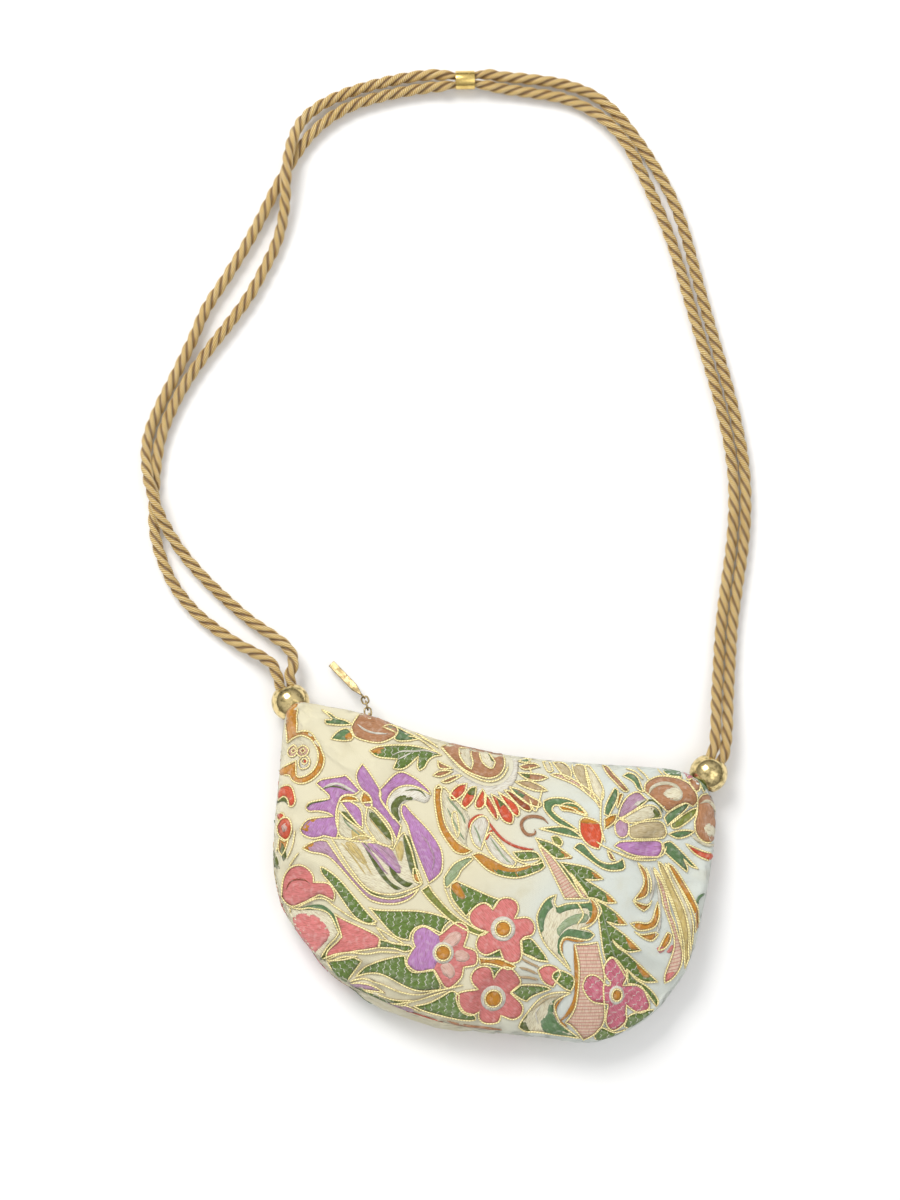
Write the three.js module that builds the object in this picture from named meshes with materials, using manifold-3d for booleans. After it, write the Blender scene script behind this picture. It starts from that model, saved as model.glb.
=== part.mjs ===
// A small half-moon evening bag in floral brocade, lying on its back with its cord strap laid out.
// Millimetres, +Z up. The bag's width runs along X and its zip edge faces +Y. The origin is the
// middle of the flat patch of back cloth that the bag rests on.
import * as THREE from "three";
import { mergeVertices } from "three/addons/utils/BufferGeometryUtils.js";
import Module from "manifold-3d";

const wasm = await Module();
wasm.setup();

// Cloth body
const halfWidth = 100;
const bodyHeight = 128;
const bellyHeight = 31;
const seamLevel = 13;
const clothThickness = 1.6;
const seamGap = 0.3;
const backFullness = 5;
const backPress = 2.5;

// Zip along the top edge
const zipHalfOpening = 3.4;
const zipRecess = 3.2;
const tapeThickness = 0.7;
const tapeBehindLip = 1.6;
const teethWidth = 4.6;
const teethDepth = 1.6;
const pieceGap = 0.35;

// Slider, chain and pull
const sliderLength = 8;
const sliderWidth = 5.8;
const sliderPlate = 1;
const sliderPost = 2.2;
const eyeWire = 0.8;
const eyeHalfHeight = 1.9;
const eyeReach = 2.8;
const linkWire = 0.8;
const linkClearance = 0.3;
const linkHalfLength = 2.15;
const linkHalfWidth = 1.5;
const pullLength = 16;
const pullWidth = 3.3;
const pullThickness = 2;
const pullNeck = 4.6;
const pullEyeRadius = 1.25;

// Balls at the two top corners
const ballRadius = 8.7;
const ballGap = 0.35;
const floorGap = 0.1;
const ballLevel = ballRadius + floorGap;
const leftBall = new THREE.Vector2(-1.005 * halfWidth, 0.5 * bodyHeight);
const rightBall = new THREE.Vector2(0.925 * halfWidth, 0.5 * bodyHeight);
const leftCordAngle = 115;
const rightCordAngle = 73.6;

// Cord strap and the ferrule that joins its four ends
const cordDiameter = 5;
const cordGap = 0.3;
const cordSides = 10;
const cordSteps = 30;
const cordTail = 5.6;
const ferruleLength = 8.9;
const ferruleDiameter = 8.6;
const ferruleChamfer = 0.4;
const ferruleCentre = new THREE.Vector2(-70.7, 364.7);
const ferruleAngle = 11.1;

// The rim of the bag, once round from the right ball clockwise as seen from above.
// across and up: place in plan, as shares of halfWidth and bodyHeight from the origin
// lift: how far the rim is raised from the ball's level, 0, to the seam's level, 1
// zip: how far the two cloths stand apart here, as a share of zipHalfOpening
// roll: how far the seam is rolled up on to the front, in degrees round the section
// tuck: how much nearer the middle the back cloth ends than the front, as a share
// full: fullness of the front's section, 2 for an ellipse and more for a squarer one
const rimColumns = ["across", "up", "lift", "zip", "roll", "tuck", "full"];
const rimRows = [
  [0.948, 0.426, 0, 0, 0, 0, 2.35],
  [0.982, 0.37, 0.2, 0, 0, 0, 2.5],
  [0.997, 0.25, 0.5, 0, 0, 0, 2.75],
  [1.0, 0.12, 0.75, 0, 0, 0, 2.9],
  [0.992, 0.0, 0.9, 0, 0, 0, 3.0],
  [0.978, -0.13, 1, 0, 0, 0, 3.0],
  [0.93, -0.25, 1, 0, 0, 0, 3.0],
  [0.835, -0.37, 1, 0, 0, 0, 3.0],
  [0.71, -0.455, 1, 0, 0, 0, 3.0],
  [0.56, -0.508, 1, 0, 0, 0, 3.1],
  [0.4, -0.51, 1, 0, 2, 0, 3.2],
  [0.2, -0.524, 1, 0, 9, 0, 3.2],
  [0.0, -0.538, 1, 0, 18, 0, 3.2],
  [-0.22, -0.528, 1, 0, 21, 0, 3.2],
  [-0.42, -0.485, 1, 0, 18, 0, 3.2],
  [-0.59, -0.425, 1, 0, 6, 0, 3.1],
  [-0.73, -0.338, 1, 0, 0, 0, 3.0],
  [-0.845, -0.25, 1, 0, 0, 0, 3.0],
  [-0.918, -0.15, 1, 0, 0, 0, 3.0],
  [-0.962, -0.03, 0.9, 0, 0, 0, 3.0],
  [-0.985, 0.12, 0.75, 0, 0, 0, 2.9],
  [-0.997, 0.25, 0.5, 0, 0, 0, 2.75],
  [-1.012, 0.36, 0.2, 0, 0, 0, 2.5],
  [-1.018, 0.425, 0, 0, 0, 0, 2.4],
  [-1.007, 0.468, 0, 0.2, 0, 0.035, 2.35],
  [-0.975, 0.497, 0, 0.4, 0, 0.045, 2.3],
  [-0.937, 0.505, 0, 0.7, 0, 0.02, 2.3],
  [-0.88, 0.503, 0.2, 1, 0, 0, 2.25],
  [-0.75, 0.505, 0.5, 1, 0, 0, 2.2],
  [-0.6, 0.492, 0.8, 1, 0, 0, 2.15],
  [-0.44, 0.468, 1, 1, 0, 0, 2.1],
  [-0.27, 0.449, 1, 1, 0, 0, 2.1],
  [-0.08, 0.441, 1, 1, 0, 0, 2.1],
  [0.12, 0.444, 1, 1, 0, 0, 2.1],
  [0.31, 0.455, 1, 1, 0, 0, 2.1],
  [0.49, 0.47, 0.8, 1, 0, 0, 2.15],
  [0.65, 0.484, 0.5, 1, 0, 0, 2.2],
  [0.78, 0.489, 0.2, 1, 0, 0, 2.25],
  [0.845, 0.48, 0, 0.7, 0, 0, 2.3],
  [0.9, 0.459, 0, 0.3, 0, 0, 2.3],
];
const stepsPerRow = 2;
const rings = 9;

// Dents in the front cloth, pressed in or, where depth is negative, swelled out.
// across, up: place, as shares of halfWidth and bodyHeight; long, wide: size, as shares of halfWidth
// angle: of the long direction, in degrees; depth: as a share of bellyHeight
const dentColumns = ["across", "up", "long", "wide", "angle", "depth"];
const dentRows = [
  [-0.72, 0.33, 0.3, 0.16, -38, 0.045],
  [-0.2, 0.3, 0.5, 0.14, -8, 0.05],
  [0.66, 0.3, 0.3, 0.16, 32, 0.035],
  [0.1, -0.1, 0.42, 0.3, 0, -0.03],
  [0.52, -0.42, 0.2, 0.07, 60, 0.06],
  [-0.66, -0.26, 0.24, 0.08, 128, 0.05],
];

// Each cord's route in plan and height, from its ball to the ferrule, chosen by hand. The stretches
// through the ball and into the ferrule are worked out from their sizes.
const leftOuterRoute = [
  [-111.6, 79.4, 8.2],
  [-118.5, 82.8, 6.4],
  [-128.5, 86.2, 4.2],
  [-139.5, 91.2, 2.8],
  [-150.4, 97.4, 2.6],
  [-161.8, 107.3, 2.6],
  [-170.4, 119.4, 2.6],
  [-175.9, 131.6, 2.6],
  [-178.4, 144.6, 2.6],
  [-180.2, 158.4, 2.6],
  [-180.6, 173.6, 2.6],
  [-178.0, 188.4, 2.6],
  [-173.0, 203.6, 2.6],
  [-166.6, 217.8, 2.6],
  [-159.6, 231.2, 2.6],
  [-152.6, 245.8, 2.6],
  [-147.4, 261.0, 2.6],
  [-143.6, 276.4, 2.8],
  [-143.2, 291.4, 5.2],
  [-144.6, 302.4, 7.9],
  [-145.3, 312.0, 8.4],
  [-144.9, 321.8, 7.4],
  [-142.2, 332.4, 4.2],
  [-135.4, 341.2, 2.8],
  [-125.4, 348.6, 2.6],
  [-113.0, 355.2, 2.6],
  [-100.3, 360.6, 2.6],
  [-88.6, 364.4, 3.0],
];
const leftInnerRoute = [
  [-102.4, 82.6, 7.8],
  [-106.0, 88.2, 6.2],
  [-113.6, 92.6, 4.2],
  [-124.4, 97.6, 2.8],
  [-136.2, 104.6, 2.6],
  [-149.4, 113.6, 2.6],
  [-160.6, 122.8, 3.0],
  [-168.6, 131.2, 5.4],
  [-174.4, 138.6, 8.2],
  [-178.6, 146.0, 8.6],
  [-182.6, 154.4, 7.2],
  [-185.6, 164.2, 4.0],
  [-186.4, 174.6, 2.6],
  [-184.0, 187.6, 2.6],
  [-179.4, 203.6, 2.6],
  [-174.6, 221.0, 2.6],
  [-170.6, 237.6, 2.6],
  [-164.4, 252.6, 2.6],
  [-158.4, 268.0, 2.6],
  [-153.8, 282.0, 2.6],
  [-149.2, 297.4, 2.6],
  [-144.0, 312.4, 2.6],
  [-138.2, 325.4, 2.6],
  [-129.8, 336.4, 2.6],
  [-120.6, 344.0, 2.6],
  [-110.2, 349.6, 2.6],
  [-98.4, 354.6, 2.6],
  [-86.6, 358.6, 3.0],
];
const rightOuterRoute = [
  [97.8, 86.4, 7.4],
  [96.4, 99.6, 4.8],
  [95.2, 113.6, 3.0],
  [93.4, 133.0, 2.6],
  [92.8, 151.0, 2.6],
  [92.6, 168.0, 2.6],
  [91.0, 187.0, 2.6],
  [87.2, 206.6, 2.6],
  [81.6, 223.6, 2.6],
  [74.0, 242.2, 2.6],
  [65.6, 260.2, 2.6],
  [57.2, 278.2, 2.6],
  [49.8, 294.6, 2.6],
  [42.8, 310.4, 2.6],
  [34.6, 325.2, 2.6],
  [25.0, 338.0, 2.6],
  [13.8, 350.4, 2.6],
  [3.0, 360.6, 2.6],
  [-9.0, 368.0, 2.6],
  [-24.0, 371.2, 2.6],
  [-40.0, 371.0, 2.6],
  [-54.0, 369.8, 3.0],
];
const rightInnerRoute = [
  [92.4, 87.0, 7.4],
  [91.0, 99.8, 4.8],
  [89.8, 113.4, 3.0],
  [88.0, 133.0, 2.6],
  [87.3, 151.0, 2.6],
  [87.0, 167.6, 2.6],
  [85.4, 186.4, 2.6],
  [81.8, 205.2, 2.6],
  [76.4, 221.8, 2.6],
  [68.4, 240.6, 2.6],
  [59.8, 258.6, 2.6],
  [51.0, 276.6, 2.6],
  [43.0, 293.8, 2.6],
  [35.0, 309.4, 2.6],
  [27.2, 322.0, 2.8],
  [18.8, 334.2, 4.2],
  [9.6, 346.4, 5.8],
  [-0.6, 355.6, 5.0],
  [-11.4, 361.4, 3.2],
  [-24.0, 364.6, 2.6],
  [-40.0, 364.6, 2.6],
  [-53.6, 364.2, 3.0],
];

// Small helpers

const radians = THREE.MathUtils.degToRad;

// Turns rows of plain numbers into objects whose keys are the column names.
function table(columns, rows) {
  return rows.map((row) => Object.fromEntries(columns.map((name, i) => [name, row[i]])));
}

// A closed mesh as a solid that can be joined and cut.
function solid(geometry) {
  const bare = geometry.index ? geometry.toNonIndexed() : geometry.clone();
  bare.deleteAttribute("normal");
  bare.deleteAttribute("uv");
  const merged = mergeVertices(bare, 1e-4);
  return new wasm.Manifold(
    new wasm.Mesh({
      numProp: 3,
      vertProperties: merged.attributes.position.array,
      triVerts: new Uint32Array(merged.index.array),
    }),
  );
}

// A joined or cut solid as a three.js geometry.
function geometryOf(made) {
  const mesh = made.getMesh();
  return new THREE.BufferGeometry()
    .setAttribute("position", new THREE.BufferAttribute(new Float32Array(mesh.vertProperties), 3))
    .setIndex(new THREE.BufferAttribute(new Uint32Array(mesh.triVerts), 1));
}

function geometryFrom(points, triangles) {
  const flat = points.flatMap((p) => [p.x, p.y, p.z]);
  const made = new THREE.BufferGeometry().setAttribute(
    "position",
    new THREE.Float32BufferAttribute(flat, 3),
  );
  made.setIndex(triangles);
  return made;
}

function block(length, depth, height, x, y, z) {
  return new THREE.BoxGeometry(length, depth, height).translate(x, y, z);
}

// The direction in plan at an angle from +X, in degrees.
function heading(angle) {
  return new THREE.Vector2(Math.cos(radians(angle)), Math.sin(radians(angle)));
}

// The rim and the cloth

const rim = table(rimColumns, rimRows);
const dents = table(dentColumns, dentRows);

// How far the ball's surface, with its gap, stands above or below the ball's middle at a plan place.
function ballReach(place) {
  const grown = ballRadius + ballGap;
  const away = Math.min(place.distanceTo(leftBall), place.distanceTo(rightBall));
  return away < grown ? Math.sqrt(grown * grown - away * away) : 0;
}

// One value of the rim table between two rows, taken straight across.
function between(row, share, column) {
  const next = rim[(row + 1) % rim.length];
  return rim[row][column] + (next[column] - rim[row][column]) * share;
}

// The stations round the rim, anticlockwise as seen from above, with each one's own measures.
function rimStations() {
  const corners = rim.map((r) => new THREE.Vector3(r.across * halfWidth, r.up * bodyHeight, 0));
  const line = new THREE.CatmullRomCurve3(corners, true, "centripetal");
  const stations = [];
  for (let row = 0; row < rim.length; row++) {
    for (let step = 0; step < stepsPerRow; step++) {
      const share = step / stepsPerRow;
      const at = line.getPoint((row + share) / rim.length);
      stations.push({
        place: new THREE.Vector2(at.x, at.y),
        level: ballLevel + between(row, share, "lift") * (seamLevel - ballLevel),
        opening: between(row, share, "zip") * zipHalfOpening,
        roll: radians(between(row, share, "roll")),
        tuck: between(row, share, "tuck"),
        full: between(row, share, "full"),
      });
    }
  }
  stations.reverse();
  return stations;
}

// The rim's outward direction in plan at each station.
function outwardOf(places) {
  return places.map((_, i) => {
    const before = places[(i + places.length - 1) % places.length];
    const after = places[(i + 1) % places.length];
    const along = after.clone().sub(before).normalize();
    return new THREE.Vector2(along.y, -along.x);
  });
}

// How deep the front cloth is pressed in at a plan place.
function dentDepth(x, y) {
  let depth = 0;
  for (const dent of dents) {
    const dx = x - dent.across * halfWidth;
    const dy = y - dent.up * bodyHeight;
    const along = heading(dent.angle);
    const u = (dx * along.x + dy * along.y) / (dent.long * halfWidth);
    const v = (dy * along.x - dx * along.y) / (dent.wide * halfWidth);
    depth += dent.depth * bellyHeight * Math.exp(-u * u - v * v);
  }
  return depth;
}

// A point of the cloth's section at one station: turn is 0 at the rim, a right angle at the middle of
// the front and minus that at the middle of the back. skin is 0 on the outside, and the cloth's
// thickness on the inside.
function clothPoint(station, edge, turn, skin) {
  const front = turn >= 0;
  const reach = ballReach(station.place);
  const rise = Math.max(station.opening, station.onFront ? reach : 0);
  const fall = Math.max(station.opening, station.onFront ? 0 : reach);
  const share = Math.cos(turn) ** (2 / (front ? station.full : backFullness));
  const x = edge.x * share;
  const y = edge.y * share;
  if (front) {
    const base = station.level + (station.onFront ? rise : 0);
    const top = bellyHeight - skin;
    const pressed = dentDepth(x, y) * Math.sin(turn);
    return new THREE.Vector3(x, y, base + (top - base) * Math.sin(turn) - pressed);
  }
  const base = station.level - fall;
  const lowest = -backPress + skin;
  return new THREE.Vector3(x, y, Math.max(skin, base + (base - lowest) * Math.sin(turn)));
}

// One of the two cloths as a closed shell: an outside and an inside of rings, joined at the rim.
function clothShell(stations, onFront) {
  const sign = onFront ? 1 : -1;
  const own = stations.map((s) => ({
    ...s,
    onFront,
    place: s.place.clone().multiplyScalar(onFront ? 1 : 1 - s.tuck),
  }));
  const outward = outwardOf(own.map((s) => s.place));
  const points = [];
  const skins = [0, clothThickness];
  for (const skin of skins) {
    for (let ring = 0; ring < rings; ring++) {
      own.forEach((s, i) => {
        const edge = s.place.clone().addScaledVector(outward[i], -skin);
        const start = s.roll + (sign * seamGap) / 2 / (bellyHeight - s.level);
        const end = (sign * Math.PI) / 2;
        points.push(clothPoint(s, edge, start + ((end - start) * ring) / rings, skin));
      });
    }
    const middle = onFront ? bellyHeight - skin - dentDepth(0, 0) : skin;
    points.push(new THREE.Vector3(0, 0, middle));
  }
  const count = own.length;
  const layer = count * rings + 1;
  const triangles = [];
  const face = (a, b, c) => triangles.push(...(onFront ? [a, b, c] : [a, c, b]));
  for (let side = 0; side < 2; side++) {
    const from = side * layer;
    const turned = side === 1;
    const put = (a, b, c) => (turned ? face(a, c, b) : face(a, b, c));
    for (let i = 0; i < count; i++) {
      const next = (i + 1) % count;
      for (let ring = 0; ring < rings - 1; ring++) {
        const a = from + ring * count + i;
        const b = from + ring * count + next;
        put(a, b, b + count);
        put(a, b + count, a + count);
      }
      const last = from + (rings - 1) * count;
      put(last + i, last + next, from + layer - 1);
    }
  }
  for (let i = 0; i < count; i++) {
    const next = (i + 1) % count;
    face(next, i, layer + i);
    face(next, layer + i, layer + next);
  }
  return geometryFrom(points, triangles);
}

// The zip

// The line that the zip follows, set in from the top edge by a distance, between two places across.
function zipLine(stations, inset, fromX, toX) {
  const outward = outwardOf(stations.map((s) => s.place));
  const along = [];
  const add = (place, way, level) => {
    along.push({ at: place.clone().addScaledVector(way, -inset), outward: way, level });
  };
  stations.forEach((s, i) => {
    const open = s.opening >= zipHalfOpening * 0.99;
    if (!open || s.place.x < fromX || s.place.x > toX) return;
    add(s.place, outward[i], s.level);
    const next = stations[i + 1];
    if (next.place.x >= fromX) return;
    const share = (s.place.x - fromX) / (s.place.x - next.place.x);
    const way = outward[i].clone().lerp(outward[i + 1], share).normalize();
    add(s.place.clone().lerp(next.place, share), way, s.level + (next.level - s.level) * share);
  });
  return along;
}

// A band that follows the zip: depth is measured into the bag, and low and high from the rim's level.
function zipBand(stations, inset, depth, low, high, fromX, toX) {
  const line = zipLine(stations, inset, fromX, toX);
  const points = line.flatMap(({ at, outward, level }) => {
    const inner = at.clone().addScaledVector(outward, -depth);
    return [
      new THREE.Vector3(at.x, at.y, level + low),
      new THREE.Vector3(at.x, at.y, level + high),
      new THREE.Vector3(inner.x, inner.y, level + high),
      new THREE.Vector3(inner.x, inner.y, level + low),
    ];
  });
  const triangles = [];
  for (let i = 0; i + 1 < line.length; i++) {
    for (let k = 0; k < 4; k++) {
      const a = i * 4 + k;
      const b = i * 4 + ((k + 1) % 4);
      triangles.push(a, b + 4, b, a, a + 4, b + 4);
    }
  }
  const last = points.length - 4;
  triangles.push(0, 1, 2, 0, 2, 3, last, last + 2, last + 1, last, last + 3, last + 2);
  return geometryFrom(points, triangles);
}

// A closed ring of wire in the XY plane, long along X.
function wireLink(halfLength, halfWidth, wire, wireSides = 6, steps = 14) {
  const straight = halfLength - halfWidth;
  const points = [];
  const triangles = [];
  for (let i = 0; i < steps; i++) {
    const a = ((i + 0.5) / steps) * 2 * Math.PI;
    const middle = Math.sign(Math.cos(a)) * straight;
    for (let k = 0; k < wireSides; k++) {
      const b = (k / wireSides) * 2 * Math.PI;
      const r = halfWidth + (wire / 2) * Math.cos(b);
      points.push(new THREE.Vector3(middle + r * Math.cos(a), r * Math.sin(a), (wire / 2) * Math.sin(b)));
      const next = ((i + 1) % steps) * wireSides;
      const here = i * wireSides;
      const k1 = (k + 1) % wireSides;
      triangles.push(here + k, next + k, next + k1, here + k, next + k1, here + k1);
    }
  }
  return geometryFrom(points, triangles);
}

// The pull: a flat bar with a rounded end, narrowed to a neck that carries its eye at the origin.
function pullGeometry() {
  const eye = wireLink(pullEyeRadius, pullEyeRadius, linkWire).rotateX(Math.PI / 2);
  const half = pullWidth / 2;
  const neckEnd = pullEyeRadius + pullNeck + linkWire / 2;
  const outline = new THREE.Shape();
  outline.moveTo(pullEyeRadius, -linkWire / 2);
  outline.lineTo(neckEnd, -half);
  outline.lineTo(neckEnd + pullLength - half, -half);
  outline.absarc(neckEnd + pullLength - half, 0, half, -Math.PI / 2, Math.PI / 2, false);
  outline.lineTo(neckEnd, half);
  outline.lineTo(pullEyeRadius, linkWire / 2);
  const bar = new THREE.ExtrudeGeometry(outline, {
    depth: pullThickness,
    bevelEnabled: false,
    curveSegments: 6,
  }).translate(0, 0, -pullThickness / 2);
  return geometryOf(solid(bar).add(solid(eye)));
}

// Balls, cords and ferrule

// A ball with the cords' hole through it.
function ballGeometry(angle) {
  const hole = cordDiameter + cordGap / 2 + pieceGap;
  const ball = new THREE.SphereGeometry(ballRadius, 26, 18).rotateX(Math.PI / 2);
  const bore = new THREE.CylinderGeometry(hole, hole, ballRadius * 3, 24);
  const turned = bore.rotateZ(radians(angle - 90));
  return geometryOf(solid(ball).subtract(solid(turned)));
}

// A cord's whole route: out of its ball, along the chosen points, and up to the ferrule's face.
function cordRoute(ball, angle, beside, route, ferruleSide, ferruleBeside) {
  const out = heading(angle);
  const across = heading(angle - 90);
  const apart = ((cordDiameter + cordGap) / 2) * beside;
  const fromBall = (distance) => {
    const at = ball.clone().addScaledVector(out, distance).addScaledVector(across, apart);
    return new THREE.Vector3(at.x, at.y, ballLevel);
  };
  const along = heading(ferruleAngle);
  const over = heading(ferruleAngle + 90);
  const apartThere = ((cordDiameter + cordGap) / 2) * ferruleBeside;
  const toFerrule = (distance) => {
    const reach = ferruleSide * (ferruleLength / 2 + pieceGap + distance);
    const at = ferruleCentre.clone().addScaledVector(along, reach).addScaledVector(over, apartThere);
    return new THREE.Vector3(at.x, at.y, ferruleDiameter / 2);
  };
  return [
    fromBall(-cordTail),
    fromBall(0),
    fromBall(cordTail),
    fromBall(2 * cordTail),
    ...route.map((p) => new THREE.Vector3(...p)),
    toFerrule(cordDiameter),
    toFerrule(0),
  ];
}

function cordGeometry(route) {
  const line = new THREE.CatmullRomCurve3(route, false, "centripetal");
  const section = new THREE.Shape();
  for (let i = 0; i < cordSides; i++) {
    const at = heading((i * 360) / cordSides).multiplyScalar(cordDiameter / 2);
    if (i === 0) section.moveTo(at.x, at.y);
    else section.lineTo(at.x, at.y);
  }
  section.closePath();
  return new THREE.ExtrudeGeometry(section, { steps: cordSteps, extrudePath: line, bevelEnabled: false });
}

function ferruleGeometry() {
  const r = ferruleDiameter / 2;
  const half = ferruleLength / 2;
  const profile = [
    [0, -half],
    [r - ferruleChamfer, -half],
    [r, -half + ferruleChamfer],
    [r, half - ferruleChamfer],
    [r - ferruleChamfer, half],
    [0, half],
  ].map(([x, y]) => new THREE.Vector2(x, y));
  return new THREE.LatheGeometry(profile, 24);
}

// Finishes

const finishes = {
  brocade: new THREE.MeshStandardMaterial({ color: 0xdcd6b4, roughness: 0.75, metalness: 0 }),
  tape: new THREE.MeshStandardMaterial({ color: 0xcdb98a, roughness: 0.85, metalness: 0 }),
  teeth: new THREE.MeshStandardMaterial({ color: 0xc2a45c, roughness: 0.4, metalness: 0.8 }),
  gold: new THREE.MeshStandardMaterial({ color: 0xc9ab5e, roughness: 0.15, metalness: 1 }),
  oldGold: new THREE.MeshStandardMaterial({ color: 0xa8946a, roughness: 0.3, metalness: 1 }),
  cord: new THREE.MeshStandardMaterial({ color: 0xdcc07c, roughness: 0.6, metalness: 0.1 }),
};

const bag = new THREE.Group();

function addPiece(name, geometry, finish, parent = bag) {
  const piece = new THREE.Mesh(geometry, finishes[finish]);
  piece.name = name;
  parent.add(piece);
  return piece;
}

// Assembly

const stations = rimStations();
addPiece("front_panel", clothShell(stations, true), "brocade");
addPiece("back_panel", clothShell(stations, false), "brocade");

const tapeInset = zipRecess;
const tapeEdge = zipHalfOpening + tapeBehindLip;
const teethEdge = teethWidth / 2;
const tapeStart = -0.86 * halfWidth;
const tapeEnd = 0.76 * halfWidth;
const teethStart = -0.644 * halfWidth;
addPiece(
  "zip_tape_front",
  zipBand(stations, tapeInset, tapeThickness, teethEdge + pieceGap, tapeEdge, tapeStart, tapeEnd),
  "tape",
);
addPiece(
  "zip_tape_back",
  zipBand(stations, tapeInset, tapeThickness, -tapeEdge, -teethEdge - pieceGap, tapeStart, tapeEnd),
  "tape",
);
const teethInset = zipRecess + tapeThickness / 2 - teethDepth / 2;
addPiece(
  "zip_teeth",
  zipBand(stations, teethInset, teethDepth, -teethEdge, teethEdge, teethStart, tapeEnd),
  "teeth",
);

// The slider stands over the end of the teeth, its post just past them. In its own frame X runs
// along the zip and Y out of the bag.
const teethLine = zipLine(stations, zipRecess + tapeThickness / 2, teethStart, tapeEnd);
const teethTip = teethLine[teethLine.length - 1];
const slider = new THREE.Group();
slider.position.set(teethTip.at.x, teethTip.at.y, teethTip.level);
slider.rotation.z = Math.atan2(teethTip.outward.y, teethTip.outward.x) - Math.PI / 2;
bag.add(slider);

function sliderGeometry() {
  const plateAway = teethDepth / 2 + pieceGap + sliderPlate / 2;
  const postX = -pieceGap - sliderPost / 2;
  const plateX = postX - sliderPost / 2 + sliderLength / 2;
  const outer = solid(block(sliderLength, sliderPlate, sliderWidth, plateX, plateAway, 0));
  const inner = solid(block(sliderLength, sliderPlate, sliderWidth, plateX, -plateAway, 0));
  const post = solid(block(sliderPost, 2 * plateAway, sliderPost, postX, 0, 0));
  const eyeTop = plateAway + sliderPlate / 2 + eyeReach;
  const cap = block(eyeWire, eyeWire, 2 * eyeHalfHeight, 0, eyeTop - eyeWire / 2, 0);
  const legLength = eyeTop - plateAway;
  const legZ = eyeHalfHeight - eyeWire / 2;
  const legs = [-legZ, legZ].map((z) =>
    solid(block(eyeWire, legLength, eyeWire, 0, plateAway + legLength / 2, z)),
  );
  return geometryOf(legs.reduce((made, leg) => made.add(leg), outer.add(inner).add(post).add(solid(cap))));
}
addPiece("zip_slider", sliderGeometry(), "oldGold", slider);

// The chain runs down from the slider's eye to the pull, whose tip rests on the floor: turn is each
// link's direction in plan and fall its slope, in degrees, and every second link stands on edge.
const chainColumns = ["name", "turn", "fall", "onEdge"];
const chainRows = [
  ["pull_link_1", 105, 6, false],
  ["pull_link_2", 113, 26, true],
  ["pull_link_3", 120, 34, false],
];
const pullTurn = 143;

function chainDirection(turn, fall) {
  const flat = heading(turn).multiplyScalar(Math.cos(radians(fall)));
  return new THREE.Vector3(flat.x, flat.y, -Math.sin(radians(fall)));
}

// Turns a piece made along X to a direction, lying flat or standing on edge.
function aim(piece, at, turn, fall, onEdge) {
  piece.position.copy(at);
  piece.rotation.set(onEdge ? Math.PI / 2 : 0, radians(fall), radians(turn), "ZYX");
}

slider.updateMatrixWorld(true);
const eyeOpening = teethDepth / 2 + pieceGap + sliderPlate + (eyeReach - eyeWire) / 2;
const slip = (linkWire + linkClearance) / 2;
let joint = slider.localToWorld(new THREE.Vector3(0, eyeOpening, 0));
let setBack = 0;
for (const link of table(chainColumns, chainRows)) {
  const way = chainDirection(link.turn, link.fall);
  const centre = joint.clone().addScaledVector(way, linkHalfLength - setBack);
  const geometry = wireLink(linkHalfLength, linkHalfWidth, linkWire);
  aim(addPiece(link.name, geometry, "oldGold"), centre, link.turn, link.fall, link.onEdge);
  joint = centre.clone().addScaledVector(way, linkHalfLength - slip);
  setBack = slip;
}
const pullReach = 2 * pullEyeRadius + pullNeck + linkWire / 2 - slip + pullLength;
const pullDrop = joint.z - pullThickness / 2 - floorGap;
const pullFall = THREE.MathUtils.radToDeg(Math.asin(pullDrop / pullReach));
const pullWay = chainDirection(pullTurn, pullFall);
const pullCentre = joint.clone().addScaledVector(pullWay, pullEyeRadius - slip);
aim(addPiece("zip_pull", pullGeometry(), "oldGold"), pullCentre, pullTurn, pullFall, false);

for (const [name, ball, angle] of [
  ["left_ball", leftBall, leftCordAngle],
  ["right_ball", rightBall, rightCordAngle],
]) {
  addPiece(name, ballGeometry(angle), "gold").position.set(ball.x, ball.y, ballLevel);
}

const cords = [
  ["strap_cord_left_outer", leftBall, leftCordAngle, -1, leftOuterRoute, -1, 1],
  ["strap_cord_left_inner", leftBall, leftCordAngle, 1, leftInnerRoute, -1, -1],
  ["strap_cord_right_outer", rightBall, rightCordAngle, 1, rightOuterRoute, 1, 1],
  ["strap_cord_right_inner", rightBall, rightCordAngle, -1, rightInnerRoute, 1, -1],
];
for (const [name, ...way] of cords) {
  addPiece(name, cordGeometry(cordRoute(...way)), "cord");
}

const ferrule = addPiece("strap_ferrule", ferruleGeometry(), "gold");
ferrule.position.set(ferruleCentre.x, ferruleCentre.y, ferruleDiameter / 2 + floorGap);
ferrule.rotation.z = radians(ferruleAngle - 90);

export default bag;
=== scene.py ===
"""A small half-moon evening bag in floral brocade, lying on its back with its doubled cord strap."""
import logging
import math
from dataclasses import dataclass

import bmesh
import bpy
from mathutils import Euler, Matrix, Vector
from mathutils.bvhtree import BVHTree
from mathutils.geometry import barycentric_transform, delaunay_2d_cdt


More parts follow.
